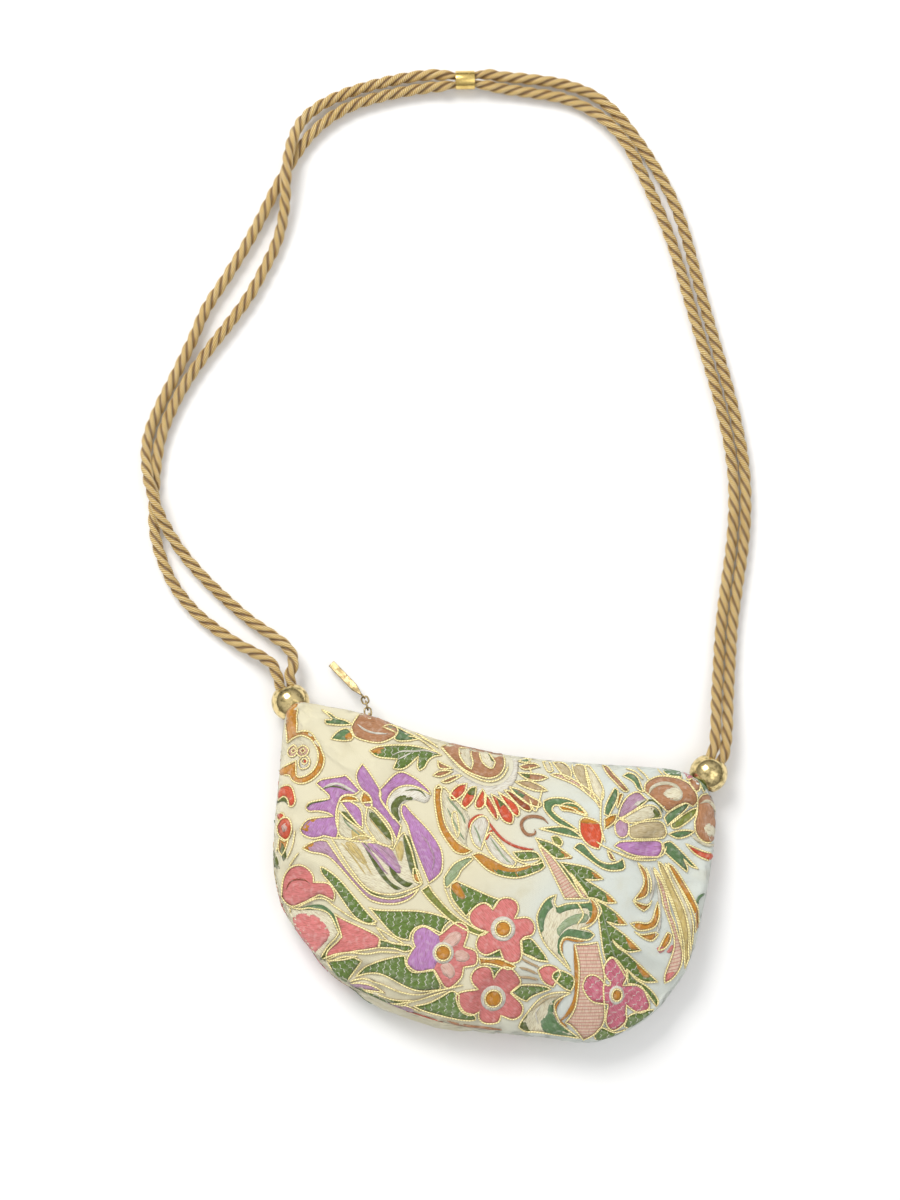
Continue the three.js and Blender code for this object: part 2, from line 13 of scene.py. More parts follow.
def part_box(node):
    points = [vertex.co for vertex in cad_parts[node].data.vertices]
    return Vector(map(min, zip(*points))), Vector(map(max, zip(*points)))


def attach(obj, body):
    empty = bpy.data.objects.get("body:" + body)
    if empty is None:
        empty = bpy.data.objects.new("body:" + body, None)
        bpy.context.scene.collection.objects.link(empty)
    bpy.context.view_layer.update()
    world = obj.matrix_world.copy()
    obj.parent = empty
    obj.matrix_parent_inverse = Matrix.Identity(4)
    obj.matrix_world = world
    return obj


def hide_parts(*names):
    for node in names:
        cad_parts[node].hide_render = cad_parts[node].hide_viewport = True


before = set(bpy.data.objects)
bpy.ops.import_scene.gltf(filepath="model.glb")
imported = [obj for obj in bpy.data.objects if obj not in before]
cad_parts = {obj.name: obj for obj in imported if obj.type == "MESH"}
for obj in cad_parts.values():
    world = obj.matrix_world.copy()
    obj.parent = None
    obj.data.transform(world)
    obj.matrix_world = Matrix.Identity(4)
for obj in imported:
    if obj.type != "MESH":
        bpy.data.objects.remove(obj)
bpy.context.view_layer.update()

log = logging.getLogger("evening_bag")

BODY = "root"
UP = Vector((0.0, 0.0, 1.0))

# How the photo's pixels lie on the bag: its origin in the photo, its turn and a pixel's real size.
PHOTO_ORIGIN = (484.6, 877.4)
PHOTO_TURN = math.radians(9.64)
PIXEL = 0.000457

# The place on the bag that the photo's middle looks at.
PHOTO_MIDDLE = Vector((-0.0368, 0.1223, 0.0088))

# The directions of the balls' holes, in degrees from +X.
LEFT_ANGLE = 115.0
RIGHT_ANGLE = 73.6

# How near two corners are to count as one, and the angle up to which an edge counts as flat.
WELD = 1e-5
FLAT_EDGE = math.radians(0.5)

# How far above or under the cloth a ray towards it starts, and the height of its seam.
SKY = 0.2
SEAM_HEIGHT = 0.012

# The strap's route in metres, plan and height, from each ball to the ferrule, as listed points.
LEFT_OUTER_ROUTE = (
    "-0.1116,0.0794,0.0082 -0.1185,0.0828,0.0064 -0.1285,0.0862,0.0042 -0.1395,0.0912,0.0028 "
    "-0.1504,0.0974,0.0026 -0.1618,0.1073,0.0026 -0.1704,0.1194,0.0026 -0.1759,0.1316,0.0026 "
    "-0.1784,0.1446,0.0026 -0.1802,0.1584,0.0026 -0.1806,0.1736,0.0026 -0.1780,0.1884,0.0026 "
    "-0.1730,0.2036,0.0026 -0.1666,0.2178,0.0026 -0.1596,0.2312,0.0026 -0.1526,0.2458,0.0026 "
    "-0.1474,0.2610,0.0026 -0.1436,0.2764,0.0028 -0.1432,0.2914,0.0052 -0.1446,0.3024,0.0079 "
    "-0.1453,0.3120,0.0084 -0.1449,0.3218,0.0074 -0.1422,0.3324,0.0042 -0.1354,0.3412,0.0028 "
    "-0.1254,0.3486,0.0026 -0.1130,0.3552,0.0026 -0.1003,0.3606,0.0026 -0.0886,0.3644,0.0030"
)
LEFT_INNER_ROUTE = (
    "-0.1024,0.0826,0.0078 -0.1060,0.0882,0.0062 -0.1136,0.0926,0.0042 -0.1244,0.0976,0.0028 "
    "-0.1362,0.1046,0.0026 -0.1494,0.1136,0.0026 -0.1606,0.1228,0.0030 -0.1686,0.1312,0.0054 "
    "-0.1744,0.1386,0.0082 -0.1786,0.1460,0.0086 -0.1826,0.1544,0.0072 -0.1856,0.1642,0.0040 "
    "-0.1864,0.1746,0.0026 -0.1840,0.1876,0.0026 -0.1794,0.2036,0.0026 -0.1746,0.2210,0.0026 "
    "-0.1706,0.2376,0.0026 -0.1644,0.2526,0.0026 -0.1584,0.2680,0.0026 -0.1538,0.2820,0.0026 "
    "-0.1492,0.2974,0.0026 -0.1440,0.3124,0.0026 -0.1382,0.3254,0.0026 -0.1298,0.3364,0.0026 "
    "-0.1206,0.3440,0.0026 -0.1102,0.3496,0.0026 -0.0984,0.3546,0.0026 -0.0866,0.3586,0.0030"
)
RIGHT_OUTER_ROUTE = (
    "0.0978,0.0864,0.0074 0.0964,0.0996,0.0048 0.0952,0.1136,0.0030 0.0934,0.1330,0.0026 "
    "0.0928,0.1510,0.0026 0.0926,0.1680,0.0026 0.0910,0.1870,0.0026 0.0872,0.2066,0.0026 "
    "0.0816,0.2236,0.0026 0.0740,0.2422,0.0026 0.0656,0.2602,0.0026 0.0572,0.2782,0.0026 "
    "0.0498,0.2946,0.0026 0.0428,0.3104,0.0026 0.0346,0.3252,0.0026 0.0250,0.3380,0.0026 "
    "0.0138,0.3504,0.0026 0.0030,0.3606,0.0026 -0.0090,0.3680,0.0026 -0.0240,0.3712,0.0026 "
    "-0.0400,0.3710,0.0026 -0.0540,0.3698,0.0030"
)
RIGHT_INNER_ROUTE = (
    "0.0924,0.0870,0.0074 0.0910,0.0998,0.0048 0.0898,0.1134,0.0030 0.0880,0.1330,0.0026 "
    "0.0873,0.1510,0.0026 0.0870,0.1676,0.0026 0.0854,0.1864,0.0026 0.0818,0.2052,0.0026 "
    "0.0764,0.2218,0.0026 0.0684,0.2406,0.0026 0.0598,0.2586,0.0026 0.0510,0.2766,0.0026 "
    "0.0430,0.2938,0.0026 0.0350,0.3094,0.0026 0.0272,0.3220,0.0028 0.0188,0.3342,0.0042 "
    "0.0096,0.3464,0.0058 -0.0006,0.3556,0.0050 -0.0114,0.3614,0.0032 -0.0240,0.3646,0.0026 "
    "-0.0400,0.3646,0.0026 -0.0536,0.3642,0.0030"
)


def linear(colour: str) -> tuple[float, float, float, float]:
    """Turn a colour as it is seen on screen into the linear colour that a shader takes.

    Args:
        colour: six hexadecimal digits, red first.

    Returns:
        Red, green, blue and alpha, from 0 to 1.
    """
    channels = [int(colour[i : i + 2], 16) / 255 for i in (0, 2, 4)]
    bright = [c / 12.92 if c <= 0.04045 else ((c + 0.055) / 1.055) ** 2.4 for c in channels]
    return (bright[0], bright[1], bright[2], 1.0)


def heading(angle: float) -> Vector:
    """Give the level direction at an angle from +X, in degrees anticlockwise from above."""
    turn = math.radians(angle)
    return Vector((math.cos(turn), math.sin(turn), 0.0))


def middle(node: str) -> Vector:
    """Give the middle of a solid's box."""
    low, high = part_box(node)
    return (Vector(low) + Vector(high)) / 2


def smoothstep(share: float) -> float:
    """Ease from 0 to 1 while the share goes from 0 to 1."""
    t = min(max(share, 0.0), 1.0)
    return t * t * (3 - 2 * t)


def deselect() -> None:
    """Leave nothing selected, so that an operator acts on the next new piece alone."""
    if bpy.context.mode != "OBJECT":
        bpy.ops.object.mode_set(mode="OBJECT")
    bpy.ops.object.select_all(action="DESELECT")


def take(piece: bpy.types.Object) -> None:
    """Select one piece alone and make it the active one."""
    deselect()
    piece.select_set(True)
    bpy.context.view_layer.objects.active = piece


def settle(piece: bpy.types.Object) -> None:
    """Put a piece's place, turn and scale into its mesh."""
    take(piece)
    bpy.ops.object.transform_apply(location=True, rotation=True, scale=True)


def apply_modifier(piece: bpy.types.Object, kind: str, **values: object) -> None:
    """Add a modifier to a piece and apply it.

    Args:
        piece: the piece to change.
        kind: the modifier's type.
        **values: its settings by name.
    """
    take(piece)
    modifier = piece.modifiers.new(kind.lower(), kind)
    for key, value in values.items():
        setattr(modifier, key, value)
    bpy.ops.object.modifier_apply(modifier=modifier.name)


def add_object(name: str, data: bpy.types.ID) -> bpy.types.Object:
    """Put a mesh, a light or a camera into the scene.

    Args:
        name: the new object's name.
        data: what it shows or is.

    Returns:
        The new object.
    """
    made = bpy.data.objects.new(name, data)
    bpy.context.scene.collection.objects.link(made)
    return made


def plain_shape(shape: str, name: str, **values: object) -> bpy.types.Object:
    """Add one of Blender's plain shapes, with its place and turn put into its mesh.

    Args:
        shape: plane, cube, cylinder, torus or uv_sphere.
        name: the new piece's name.
        **values: its sizes and place.

    Returns:
        The new piece.
    """
    deselect()
    getattr(bpy.ops.mesh, f"primitive_{shape}_add")(**values)
    piece = bpy.context.active_object
    piece.name = name
    settle(piece)
    return piece


def mesh_piece(name: str, points: list, faces: list) -> bpy.types.Object:
    """Make a piece from points and faces that a method worked out.

    Args:
        name: the piece's name.
        points: the places of its vertices.
        faces: the vertices of each face, anticlockwise from outside.

    Returns:
        The new object, linked to the scene.
    """
    mesh = bpy.data.meshes.new(name)
    mesh.from_pydata(points, [], faces)
    mesh.update()
    return add_object(name, mesh)


def smooth(piece: bpy.types.Object, angle: float = 35.0) -> None:
    """Shade a piece smooth, with edges sharper than an angle left crisp.

    Args:
        piece: the piece to shade.
        angle: the limit in degrees.
    """
    take(piece)
    bpy.ops.object.shade_smooth_by_angle(angle=math.radians(angle))


def hand_in(piece: bpy.types.Object, material: bpy.types.Material, slot: str, *nodes: str) -> None:
    """Dress a finished piece, hang it on the bag's body and hide the solids that it stands for.

    Args:
        piece: the finished piece.
        material: its finish.
        slot: not used.
        *nodes: the solids that it stands for.
    """
    piece.data.materials.clear()
    piece.data.materials.append(material)
    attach(piece, BODY)
    if nodes:
        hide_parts(*nodes)
    log.info("%s: %d vertices, %d faces", piece.name, len(piece.data.vertices), len(piece.data.polygons))


def centripetal(points: list[Vector], step: float) -> list[Vector]:
    """Run a centripetal Catmull-Rom curve through points.

    Args:
        points: the points that it passes, in order.
        step: how far apart its places are.

    Returns:
        Places along the curve, a step apart.
    """
    ends = [2 * points[0] - points[1], *points, 2 * points[-1] - points[-2]]
    dense = []
    for p0, p1, p2, p3 in zip(ends, ends[1:], ends[2:], ends[3:]):
        t1 = (p1 - p0).length ** 0.5
        t2 = t1 + (p2 - p1).length ** 0.5
        t3 = t2 + (p3 - p2).length ** 0.5
        pieces = max(4, math.ceil((p2 - p1).length / step) * 2)
        for i in range(pieces):
            t = t1 + (t2 - t1) * i / pieces
            a1 = p0.lerp(p1, t / t1)
            a2 = p1.lerp(p2, (t - t1) / (t2 - t1))
            a3 = p2.lerp(p3, (t - t2) / (t3 - t2))
            b1 = a1.lerp(a2, t / t2)
            b2 = a2.lerp(a3, (t - t1) / (t3 - t1))
            dense.append(b1.lerp(b2, (t - t1) / (t2 - t1)))
    dense.append(points[-1].copy())
    return even_steps(dense, step)


def distances(line: list[Vector]) -> list[float]:
    """Measure along a line.

    Args:
        line: the line's corners.

    Returns:
        How far along it each corner is.
    """
    far = [0.0]
    for a, b in zip(line, line[1:]):
        far.append(far[-1] + (b - a).length)
    return far


def even_steps(line: list[Vector], step: float) -> list[Vector]:
    """Place points at even distances along a line of straight stretches.

    Args:
        line: the line's corners.
        step: the distance wanted, which is stretched a little to fit.

    Returns:
        The evenly placed points, with both ends.
    """
    far = distances(line)
    count = max(1, round(far[-1] / step))
    made = []
    k = 0
    for i in range(count + 1):
        goal = far[-1] * i / count
        while k < len(line) - 2 and far[k + 1] < goal:
            k += 1
        span = far[k + 1] - far[k]
        made.append(line[k].lerp(line[k + 1], (goal - far[k]) / span if span else 0.0))
    return made


def carried_frames(line: list[Vector], first: Vector) -> list[tuple[Vector, Vector, Vector]]:
    """Carry a frame along a line without twist.

    Args:
        line: places along the line.
        first: roughly the first frame's second direction.

    Returns:
        For each place the direction along the line and two directions across it.
    """
    frames = []
    across = first
    for i in range(len(line)):
        along = (line[min(i + 1, len(line) - 1)] - line[max(i - 1, 0)]).normalized()
        across = (across - along * across.dot(along)).normalized()
        frames.append((along, across, along.cross(across)))
    return frames


class Tubes:
    """Tubes of thread or wire gathered into one mesh, with a UV map round and along them."""

    def __init__(self, sides: int) -> None:
        """Start with none.

        Args:
            sides: how many sides each tube has.
        """
        self.sides = sides
        self.points: list[Vector] = []
        self.faces: list[tuple[int, ...]] = []
        self.uvs: list[tuple[float, float]] = []

    def section(self, centre: Vector, first: Vector, second: Vector) -> list[Vector]:
        """Give the corners of one section, from its half widths in two directions."""
        turns = [2 * math.pi * k / self.sides for k in range(self.sides)]
        return [centre + first * math.cos(a) + second * math.sin(a) for a in turns]

    def add(self, sections: list[list[Vector]], far: list[float], closed: bool = False) -> None:
        """Add a tube.

        Args:
            sections: the corners of its sections, in order.
            far: how far along it each section is, with the whole length too if it is closed.
            closed: whether it comes back to its start.
        """
        base, count, sides = len(self.points), len(sections), self.sides
        self.points += [corner for section in sections for corner in section]
        for i in range(count if closed else count - 1):
            here, there = base + i * sides, base + (i + 1) % count * sides
            for k in range(sides):
                after = (k + 1) % sides
                self.faces.append((here + k, there + k, there + after, here + after))
                low, high = k / sides, (k + 1) / sides
                self.uvs += [(low, far[i]), (low, far[i + 1]), (high, far[i + 1]), (high, far[i])]
        if not closed:
            for start in (base, base + (count - 1) * sides):
                self.faces.append(tuple(range(start, start + sides)))
                self.uvs += [(0.0, 0.0)] * sides

    def piece(self, name: str, layer: str) -> bpy.types.Object:
        """Make the piece, with every tube's faces turned outwards.

        Args:
            name: the piece's name.
            layer: the UV map's name.

        Returns:
            The piece.
        """
        made = mesh_piece(name, self.points, self.faces)
        uvs = made.data.uv_layers.new(name=layer)
        uvs.data.foreach_set("uv", [c for uv in self.uvs for c in uv])
        take(made)
        bpy.ops.object.mode_set(mode="EDIT")
        bpy.ops.mesh.select_all(action="SELECT")
        bpy.ops.mesh.normals_make_consistent(inside=False)
        bpy.ops.object.mode_set(mode="OBJECT")
        smooth(made, 75.0)
        return made


class Nodes:
    """A material's nodes, with short calls that add them and join them."""

    def __init__(self, name: str, **values: object) -> None:
        """Start a material with one Principled shader.

        Args:
            name: the material's name.
            **values: constants for the shader's sockets, with _ for a space.
        """
        self.material = bpy.data.materials.new(name)
        self.material.use_nodes = True
        self.tree = self.material.node_tree
        self.shader = self.tree.nodes["Principled BSDF"]
        for key, value in values.items():
            self.shader.inputs[key.replace("_", " ")].default_value = value

    def add(self, kind: str, inputs: dict | None = None, **settings: object) -> bpy.types.Node:
        """Add a node.

        Args:
            kind: its type without the leading ShaderNode.
            inputs: constants or sockets for its inputs.
            **settings: its own settings.

        Returns:
            The node.
        """
        node = self.tree.nodes.new("ShaderNode" + kind)
        for key, value in settings.items():
            setattr(node, key, value)
        for key, value in (inputs or {}).items():
            if isinstance(value, bpy.types.NodeSocket):
                self.tree.links.new(value, node.inputs[key])
            else:
                node.inputs[key].default_value = value
        return node

    def math(self, operation: str, *values: object) -> bpy.types.NodeSocket:
        """Add a Math node on numbers or sockets and give its result."""
        return self.add("Math", dict(enumerate(values)), operation=operation).outputs[0]

    def noise(self, where: bpy.types.NodeSocket, scale: float, detail: float = 2.0) -> bpy.types.NodeSocket:
        """Add a noise texture, its scale in cells a metre, and give its value."""
        return self.add("TexNoise", {"Vector": where, "Scale": scale, "Detail": detail}).outputs[0]

    def mix(self, share: object, first: object, second: object, blend: str = "MIX") -> bpy.types.NodeSocket:
        """Mix two colours, by the second one's share, and give the result."""
        inputs = {0: share, 6: first, 7: second}
        return self.add("Mix", inputs, data_type="RGBA", blend_type=blend).outputs[2]

    def ramp(self, value: object, low: float, high: float, to: tuple[float, float] = (0.0, 1.0)) -> object:
        """Carry a value that goes from low to high over to a new range, eased at both ends."""
        inputs = {"Value": value, "From Min": low, "From Max": high, "To Min": to[0], "To Max": to[1]}
        return self.add("MapRange", inputs, interpolation_type="SMOOTHSTEP").outputs[0]

    def bump(self, height: object, depth: float, strength: float = 1.0) -> None:
        """Give the shader a bump from a height, its depth in metres."""
        node = self.add("Bump", {"Height": height, "Distance": depth, "Strength": strength})
        self.tree.links.new(node.outputs[0], self.shader.inputs["Normal"])

    def put(self, socket: str, value: bpy.types.NodeSocket) -> None:
        """Join a value to one of the shader's sockets."""
        self.tree.links.new(value, self.shader.inputs[socket])


# The colours of the brocade's threads, as they are seen.
LILAC = "CE94D2"
MAUVE = "CFA6C4"
ROSE = "EE8C8A"
BLUSH = "F0C6B8"
PINK = "E88098"
RED = "E8603C"
RUST = "A9552F"
OCHRE = "DC9834"
BROWN = "C08A62"
TAN = "D2B58A"
GREEN = "6C9262"
LEAF = "6E8B3E"
OLIVE = "8F9A48"
MOSS = "6A7834"
SAGE = "A3B88F"
STRAW = "DCCBA0"
CREAM = "F6F0D2"
WHITE = "F7F4E6"
YELLOW = "E8D28A"
SALMON = "F6D8C0"


@dataclass(frozen=True)
class Patch:
    """One dyed region of a motif, as an outline of chosen photo pixels.

    In the outline a comma joins the two coordinates of a point, and ! marks a sharp corner.
    """

    dye: str
    outline: str
    layer: int = 1
    gilt: bool = True


@dataclass(frozen=True)
class Tint(Patch):
    """A patch with no gilt thread round it."""

    gilt: bool = False


@dataclass(frozen=True)
class Float:
    """One long dyed float of thread, as a width in pixels and a path of chosen photo pixels."""

    dye: str
    width: float
    path: str


@dataclass(frozen=True)
class Whorl:
    """A round flower centre: its middle and half widths in photo pixels."""

    across: float
    up: float
    half_width: float
    half_height: float
    eye: float


# The brocade's motifs, read from the photo. Each is followed by the smaller figures on it.
PATCHES = (
    # Scroll upper left
    Patch(OCHRE, "291,706 299,704! 299,734! 307,733 315,738 325,756 325,767 320,776 311,783 302,785 295,782 "
        "291,776 283,776 280,772! 287,767 298,762! 299,777 306,778 313,774 318,767 320,758 318,749 312,741 "
        "304,737 296,739 289,744! 288,720"),
    Patch(WHITE, "301,763 307,757 312,762 310,769 303,770", 2),
    Patch(RED, "304,763 307,760 310,763 307,766", 3),
    Patch(BLUSH, "299,752 305,747 311,752 307,758 301,757", 2),
    Patch(RUST, "303,752 306,750 308,753 305,755", 3),
    Patch(BLUSH, "290,751 296,746 300,752 296,758 291,757", 2),
    Patch(RUST, "294,751 297,749 298,753 295,755", 3),
    # Left edge buds
    Patch(RED, "283,788 289,786 295,789 298,802 295,807 292,807! 290,800 286,797 281,801! 280,794"),
    Tint(MOSS, "279,803 284,797 290,799 291,806! 286,802", 2),
    Patch(RED, "280,826! 284,819 290,818 294,824 294,832 290,840 285,838! 281,834"),
    Tint(BLUSH, "284,826! 288,823 290,828 286,832", 2),
    Patch(OCHRE, "282,838! 288,841 291,838 289,848 285,855! 281,848"),
    Tint(MOSS, "284,842! 287,846 289,856 286,860! 283,850", 2),
    Patch(RED, "279,815! 284,813 287,816 282,821!"),
    # Brown bud top left
    Patch(BROWN, "352,729! 355,722 361,715 368,714 394,727 396,737 380,745 360,741 354,736"),
    Patch(GREEN, "383,729! 390,727 398,730 420,741! 400,743 394,740 396,735"),
    Patch(GREEN, "323,712! 330,715 337,720 346,722 353,726! 344,727 327,726! 326,722 333,721"),
    Patch(GREEN, "332,741! 337,735 343,731 349,731 354,738 352,742! 343,743"),
    Tint(OCHRE, "343,739! 351,734 354,740 350,742", 2),
    Patch(LEAF, "370,753! 378,749 396,747 416,748 434,753 441,757! 434,758 428,762 424,769 419,772! 417,768 "
        "418,758! 406,769 398,771 393,770! 397,761! 378,759"),
    Tint(OCHRE, "370,753! 378,750 388,750 382,755 376,756", 2),
    # Lilac tulip
    Patch(LILAC, "318,785! 324,781 343,778 348,778 361,792! 356,796 349,796 343,798 340,804! 338,812 "
        "338,822 340,832 338,839! 326,836! 320,838 312,838 305,834 303,829! 307,823 314,819 335,817! "
        "330,814 320,812 311,812 308,808! 313,803 331,800! 331,797"),
    Tint(OCHRE, "303,829! 314,820 320,819 312,826 311,833!", 2),
    Patch(LILAC, "363,766! 369,773 380,791 381,800 384,806 401,827! 397,841! 389,825 375,809 372,808! "
        "372,800 366,794! 361,789 358,782 358,774"),
    Patch(LILAC, "380,791! 398,774 414,779 428,791 430,796! 415,788 405,787 396,790 390,796 387,804 389,812 "
        "394,820! 381,800"),
    Tint(WHITE, "430,797! 426,792 416,787 405,787 396,790 389,797 387,805 389,813 400,825! 402,819 400,812 "
        "402,806 407,802 414,801 424,804 428,802!", 2),
    Tint(MOSS, "413,799! 404,796 396,799 391,806 392,815 398,823! 400,821 398,814 399,807 404,802 "
        "412,801!", 3),
    Patch(LILAC, "402,806! 401,812 403,819 407,826 413,845 428,882! 436,876 441,868 440,850 429,832 411,813 "
        "405,806"),
    Patch(CREAM, "340,811! 349,820 363,831 376,843! 353,841! 345,838 340,832"),
    Tint(MOSS, "342,813! 348,813 362,828! 353,825 346,820", 2),
    Patch(LILAC, "342,803! 350,802 362,811 364,829! 358,824"),
    Patch(OCHRE, "341,803! 344,798 350,797 357,799 360,803! 355,802", 2),
    Patch(OCHRE, "362,800! 365,793 370,797 373,803! 363,804", 2),
    Patch(MAUVE, "363,804! 372,804 372,808 367,809!"),
    Patch(CREAM, "368,808! 375,812 388,828 392,836 393,846! 386,846 378,843! 367,825"),
    Tint(MOSS, "370,812! 377,815 385,823 391,833 393,842! 385,836 371,821", 2),
    Patch(CREAM, "333,838! 352,868 370,888 392,893 414,887 421,883! 417,874 411,850 404,833! 400,836 "
        "393,850! 388,846 380,843 372,838 362,836 353,839!"),
    Tint(MOSS, "362,841! 368,845 374,854 386,874 393,882 402,887! 395,888 380,873", 3),
    Tint(MOSS, "388,858! 398,874 406,880 413,882! 407,886 398,881 391,872", 3),
    Tint(MOSS, "403,836! 408,836 412,846 418,870 415,878! 410,870 404,846", 3),
    Tint(MAUVE, "359,839! 387,847 393,851! 398,860 401,872 393,870 372,850", 2),
    Tint(YELLOW, "345,842! 353,842 360,847 370,866 362,862 353,853", 2),
    Tint(YELLOW, "395,848! 401,840 404,847 403,858 399,864", 2),
    Tint(YELLOW, "352,828! 362,832 370,839 362,841 354,839", 2),
    Patch(OCHRE, "413,868! 417,869 422,882! 416,881 413,876", 3),
    Patch(MAUVE, "305,848! 313,843 322,840 329,841! 349,869 367,889 378,895 392,897 406,894 419,887! "
        "411,896 400,901 388,902 376,900 365,893 336,861 325,854 314,852"),
    Tint(OCHRE, "305,848! 316,843 314,848 310,850", 2),
    Patch(OLIVE, "421,889! 428,884! 434,893 452,912 474,926 486,929! 476,932 452,920 430,900"),
    # Leaves round the tulip
    Patch(LEAF, "323,866! 328,868 343,880 371,913 378,919! 370,921 360,917 352,909 338,889 325,873"),
    Patch(LEAF, "370,905! 380,908 418,909 441,914 449,918! 443,924 440,930! 424,923 415,925! 411,930 "
        "409,937! 400,935 391,929"),
    Patch(LEAF, "381,936! 400,941 410,942 413,946! 405,948 395,945 379,944!"),
    Patch(LEAF, "330,959! 340,955 352,953 363,957! 347,980! 338,971"),
    Patch(MAUVE, "350,979! 362,979 375,982 386,988! 360,984"),
    Patch(LEAF, "352,984! 366,986 396,995 412,995! 404,1000 390,999"),
    Patch(CREAM, "377,924! 404,940! 394,940 386,935", 2),
    Patch(LEAF, "357,973! 363,966 372,960 396,953 405,952! 406,960 410,966 416,968 433,966! 440,981 "
        "438,985! 414,985 390,973 378,969 366,970"),
    Patch(LEAF, "414,1001! 428,998 440,992 451,986 458,990! 458,998 463,1006 472,1009! 474,1014 460,1014 "
        "428,1007"),
    Patch(LEAF, "455,880! 491,896 497,897! 490,908! 487,904 481,901 474,904 464,914! 452,899 449,890 "
        "450,883!"),
    Tint(OCHRE, "449,886! 455,880 464,895 460,898! 454,893", 2),
    Patch(SAGE, "443,876! 453,863 467,857 471,859! 460,869 456,876 446,886 443,883"),
    Patch(LEAF, "518,937! 525,935 530,938 541,952 543,957! 536,957 528,953 519,950!"),
    Patch(LEAF, "508,987! 519,980 540,981 547,984! 530,991 524,996! 518,994"),
    # Five petal flowers
    Patch(ROSE, "438,932! 425,924 417,926 413,931 413,938 415,943! 411,948 407,959 417,967 433,965! 446,983 "
        "459,974 462,963! 474,960 474,948 462,943! 466,931 465,924 459,920 452,921 440,931!", 2),
    Tint(LILAC, "438,932! 425,924 417,926 413,931 413,938 415,943! 411,948 407,959 417,967 433,965! "
        "440,949", 3),
    Tint(BLUSH, "441,938! 447,931 455,928 460,932 457,940 449,945! 441,946", 3),
    Tint(BLUSH, "452,948! 459,946 466,949 468,954 463,958 455,957!", 3),
    Tint(BLUSH, "438,960! 446,958 452,962 454,970 449,974 442,970!", 3),
    Patch(ROSE, "490,908! 493,902 498,897 505,896 512,899 515,905 514,911 511,916! 523,915 529,919 531,926 "
        "528,932 521,934 517,938! 518,953 514,958 507,959 501,956 497,946! 485,951 478,949 474,943 475,936 "
        "479,931 486,929! 478,927 470,922 467,915 470,908 476,903 483,901 488,904!", 2),
    Patch(ROSE, "491,974! 495,967 500,963 506,963 512,967 517,974 517,980 508,988! 519,999 520,1006 "
        "517,1011 510,1014 499,1010! 497,1016 490,1018 482,1017 477,1012 477,1006! 472,1009 466,1009 "
        "459,1004 455,992 459,987 476,984! 471,979 469,972 473,965 480,962 487,963 490,968!", 2),
    Patch(PINK, "605,978! 600,972 598,966 600,959 606,954 612,957 621,971 617,981! 632,981 639,986 645,1001 "
        "642,1006 635,1008 627,1005 621,1000! 621,1008 622,1014 618,1020 610,1025 604,1022 601,1014 "
        "603,999! 587,996 578,984 579,976 583,971 590,971 596,975 600,980 604,981!", 2),
    # Flower stems and small leaves
    Patch(OCHRE, "477,954! 485,955 497,955 512,962 505,965! 488,960 478,960!"),
    Tint(LEAF, "482,953! 490,951 497,947 499,953!"),
    Tint(LEAF, "488,963! 493,973! 498,964!"),
    Patch(ROSE, "534,966! 539,962 546,961 553,964 556,970! 549,982! 542,979 537,973"),
    Patch(LEAF, "550,968! 556,966 568,972 569,980 566,986! 559,983 548,973", 2),
    # Brown half flower
    Tint(WHITE, "452,770! 475,784 490,787 502,783 510,774 512,764 508,757! 516,760 517,770 514,781 507,790 "
        "496,797 484,798 470,794 458,786 450,777"),
    Patch(BROWN, "441,748! 447,756 463,771 482,779 492,779 499,775 503,768 503,760 501,755! 452,744!", 2),
    Patch(CREAM, "458,750! 459,758 464,766 470,771! 472,764 470,756 471,750!", 3),
    Patch(CREAM, "478,754! 480,762 485,768 491,770 494,764! 486,753", 3),
    Tint(MOSS, "486,754! 490,757 493,762 490,764 487,760", 3),
    Patch(BROWN, "437,762! 441,765 452,770! 439,770", 2),
    Patch(BROWN, "432,777! 438,773 446,772 452,773! 440,778", 2),
    Patch(BROWN, "440,783! 454,777 461,777! 447,784", 2),
    Patch(RED, "466,785! 459,786 453,790 449,796 450,801 456,800 463,794", 2),
    Patch(RED, "475,788! 468,790 460,803 462,809 467,807 473,799", 2),
    Tint(MOSS, "466,792! 471,787 476,791 473,796 467,796", 3),
    Patch(RED, "481,790! 474,803 475,809 480,809 484,803 484,796", 2),
    Patch(RED, "483,796! 484,806 494,820 495,813 487,798", 2),
    Patch(RED, "489,795! 497,815 502,822 509,824 511,817 507,809 499,801", 2),
    Tint(MOSS, "494,797! 499,801 503,807 499,810", 3),
    Patch(RED, "496,793! 508,811 515,817 517,812 512,803", 2),
    Patch(RUST, "502,791! 518,808 527,812 528,807 511,794", 2),
    Patch(BROWN, "507,788! 515,797 526,805 537,808 538,803 529,798 518,791", 2),
    Patch(TAN, "513,783! 522,788 534,792 545,792! 538,787 526,782", 2),
    Patch(BROWN, "516,774! 538,776 546,779! 536,782 524,780", 2),
    Tint(MOSS, "517,775! 530,776 528,779 522,779", 3),
    Patch(BROWN, "518,768! 526,765 534,765 538,768! 523,771", 2),
    Patch(STRAW, "517,763! 523,760 531,761! 525,764", 2),
    Tint(GREEN, "508,789! 516,792 523,797 519,799 512,794", 3),
    Tint(GREEN, "517,762! 523,759 529,761 522,764", 3),
    # Scroll below it
    Tint(CREAM, "443,792! 450,800 466,814 468,822 465,842 468,849! 453,835 447,826 442,803"),
    Patch(OCHRE, "434,790! 438,786 441,790! 440,800 444,824 456,842 470,851! 463,854 456,853 450,848 "
        "439,830 434,805"),
    Patch(OCHRE, "470,855! 488,871 512,877 534,871 541,866! 538,858! 531,863 508,867 488,858 478,853"),
    Tint(LEAF, "488,866! 500,870 512,871 524,868 534,862 538,858 541,866! 532,871 520,875 506,876 "
        "495,873", 2),
    Patch(OCHRE, "451,814! 455,813 458,832 456,838! 451,822"),
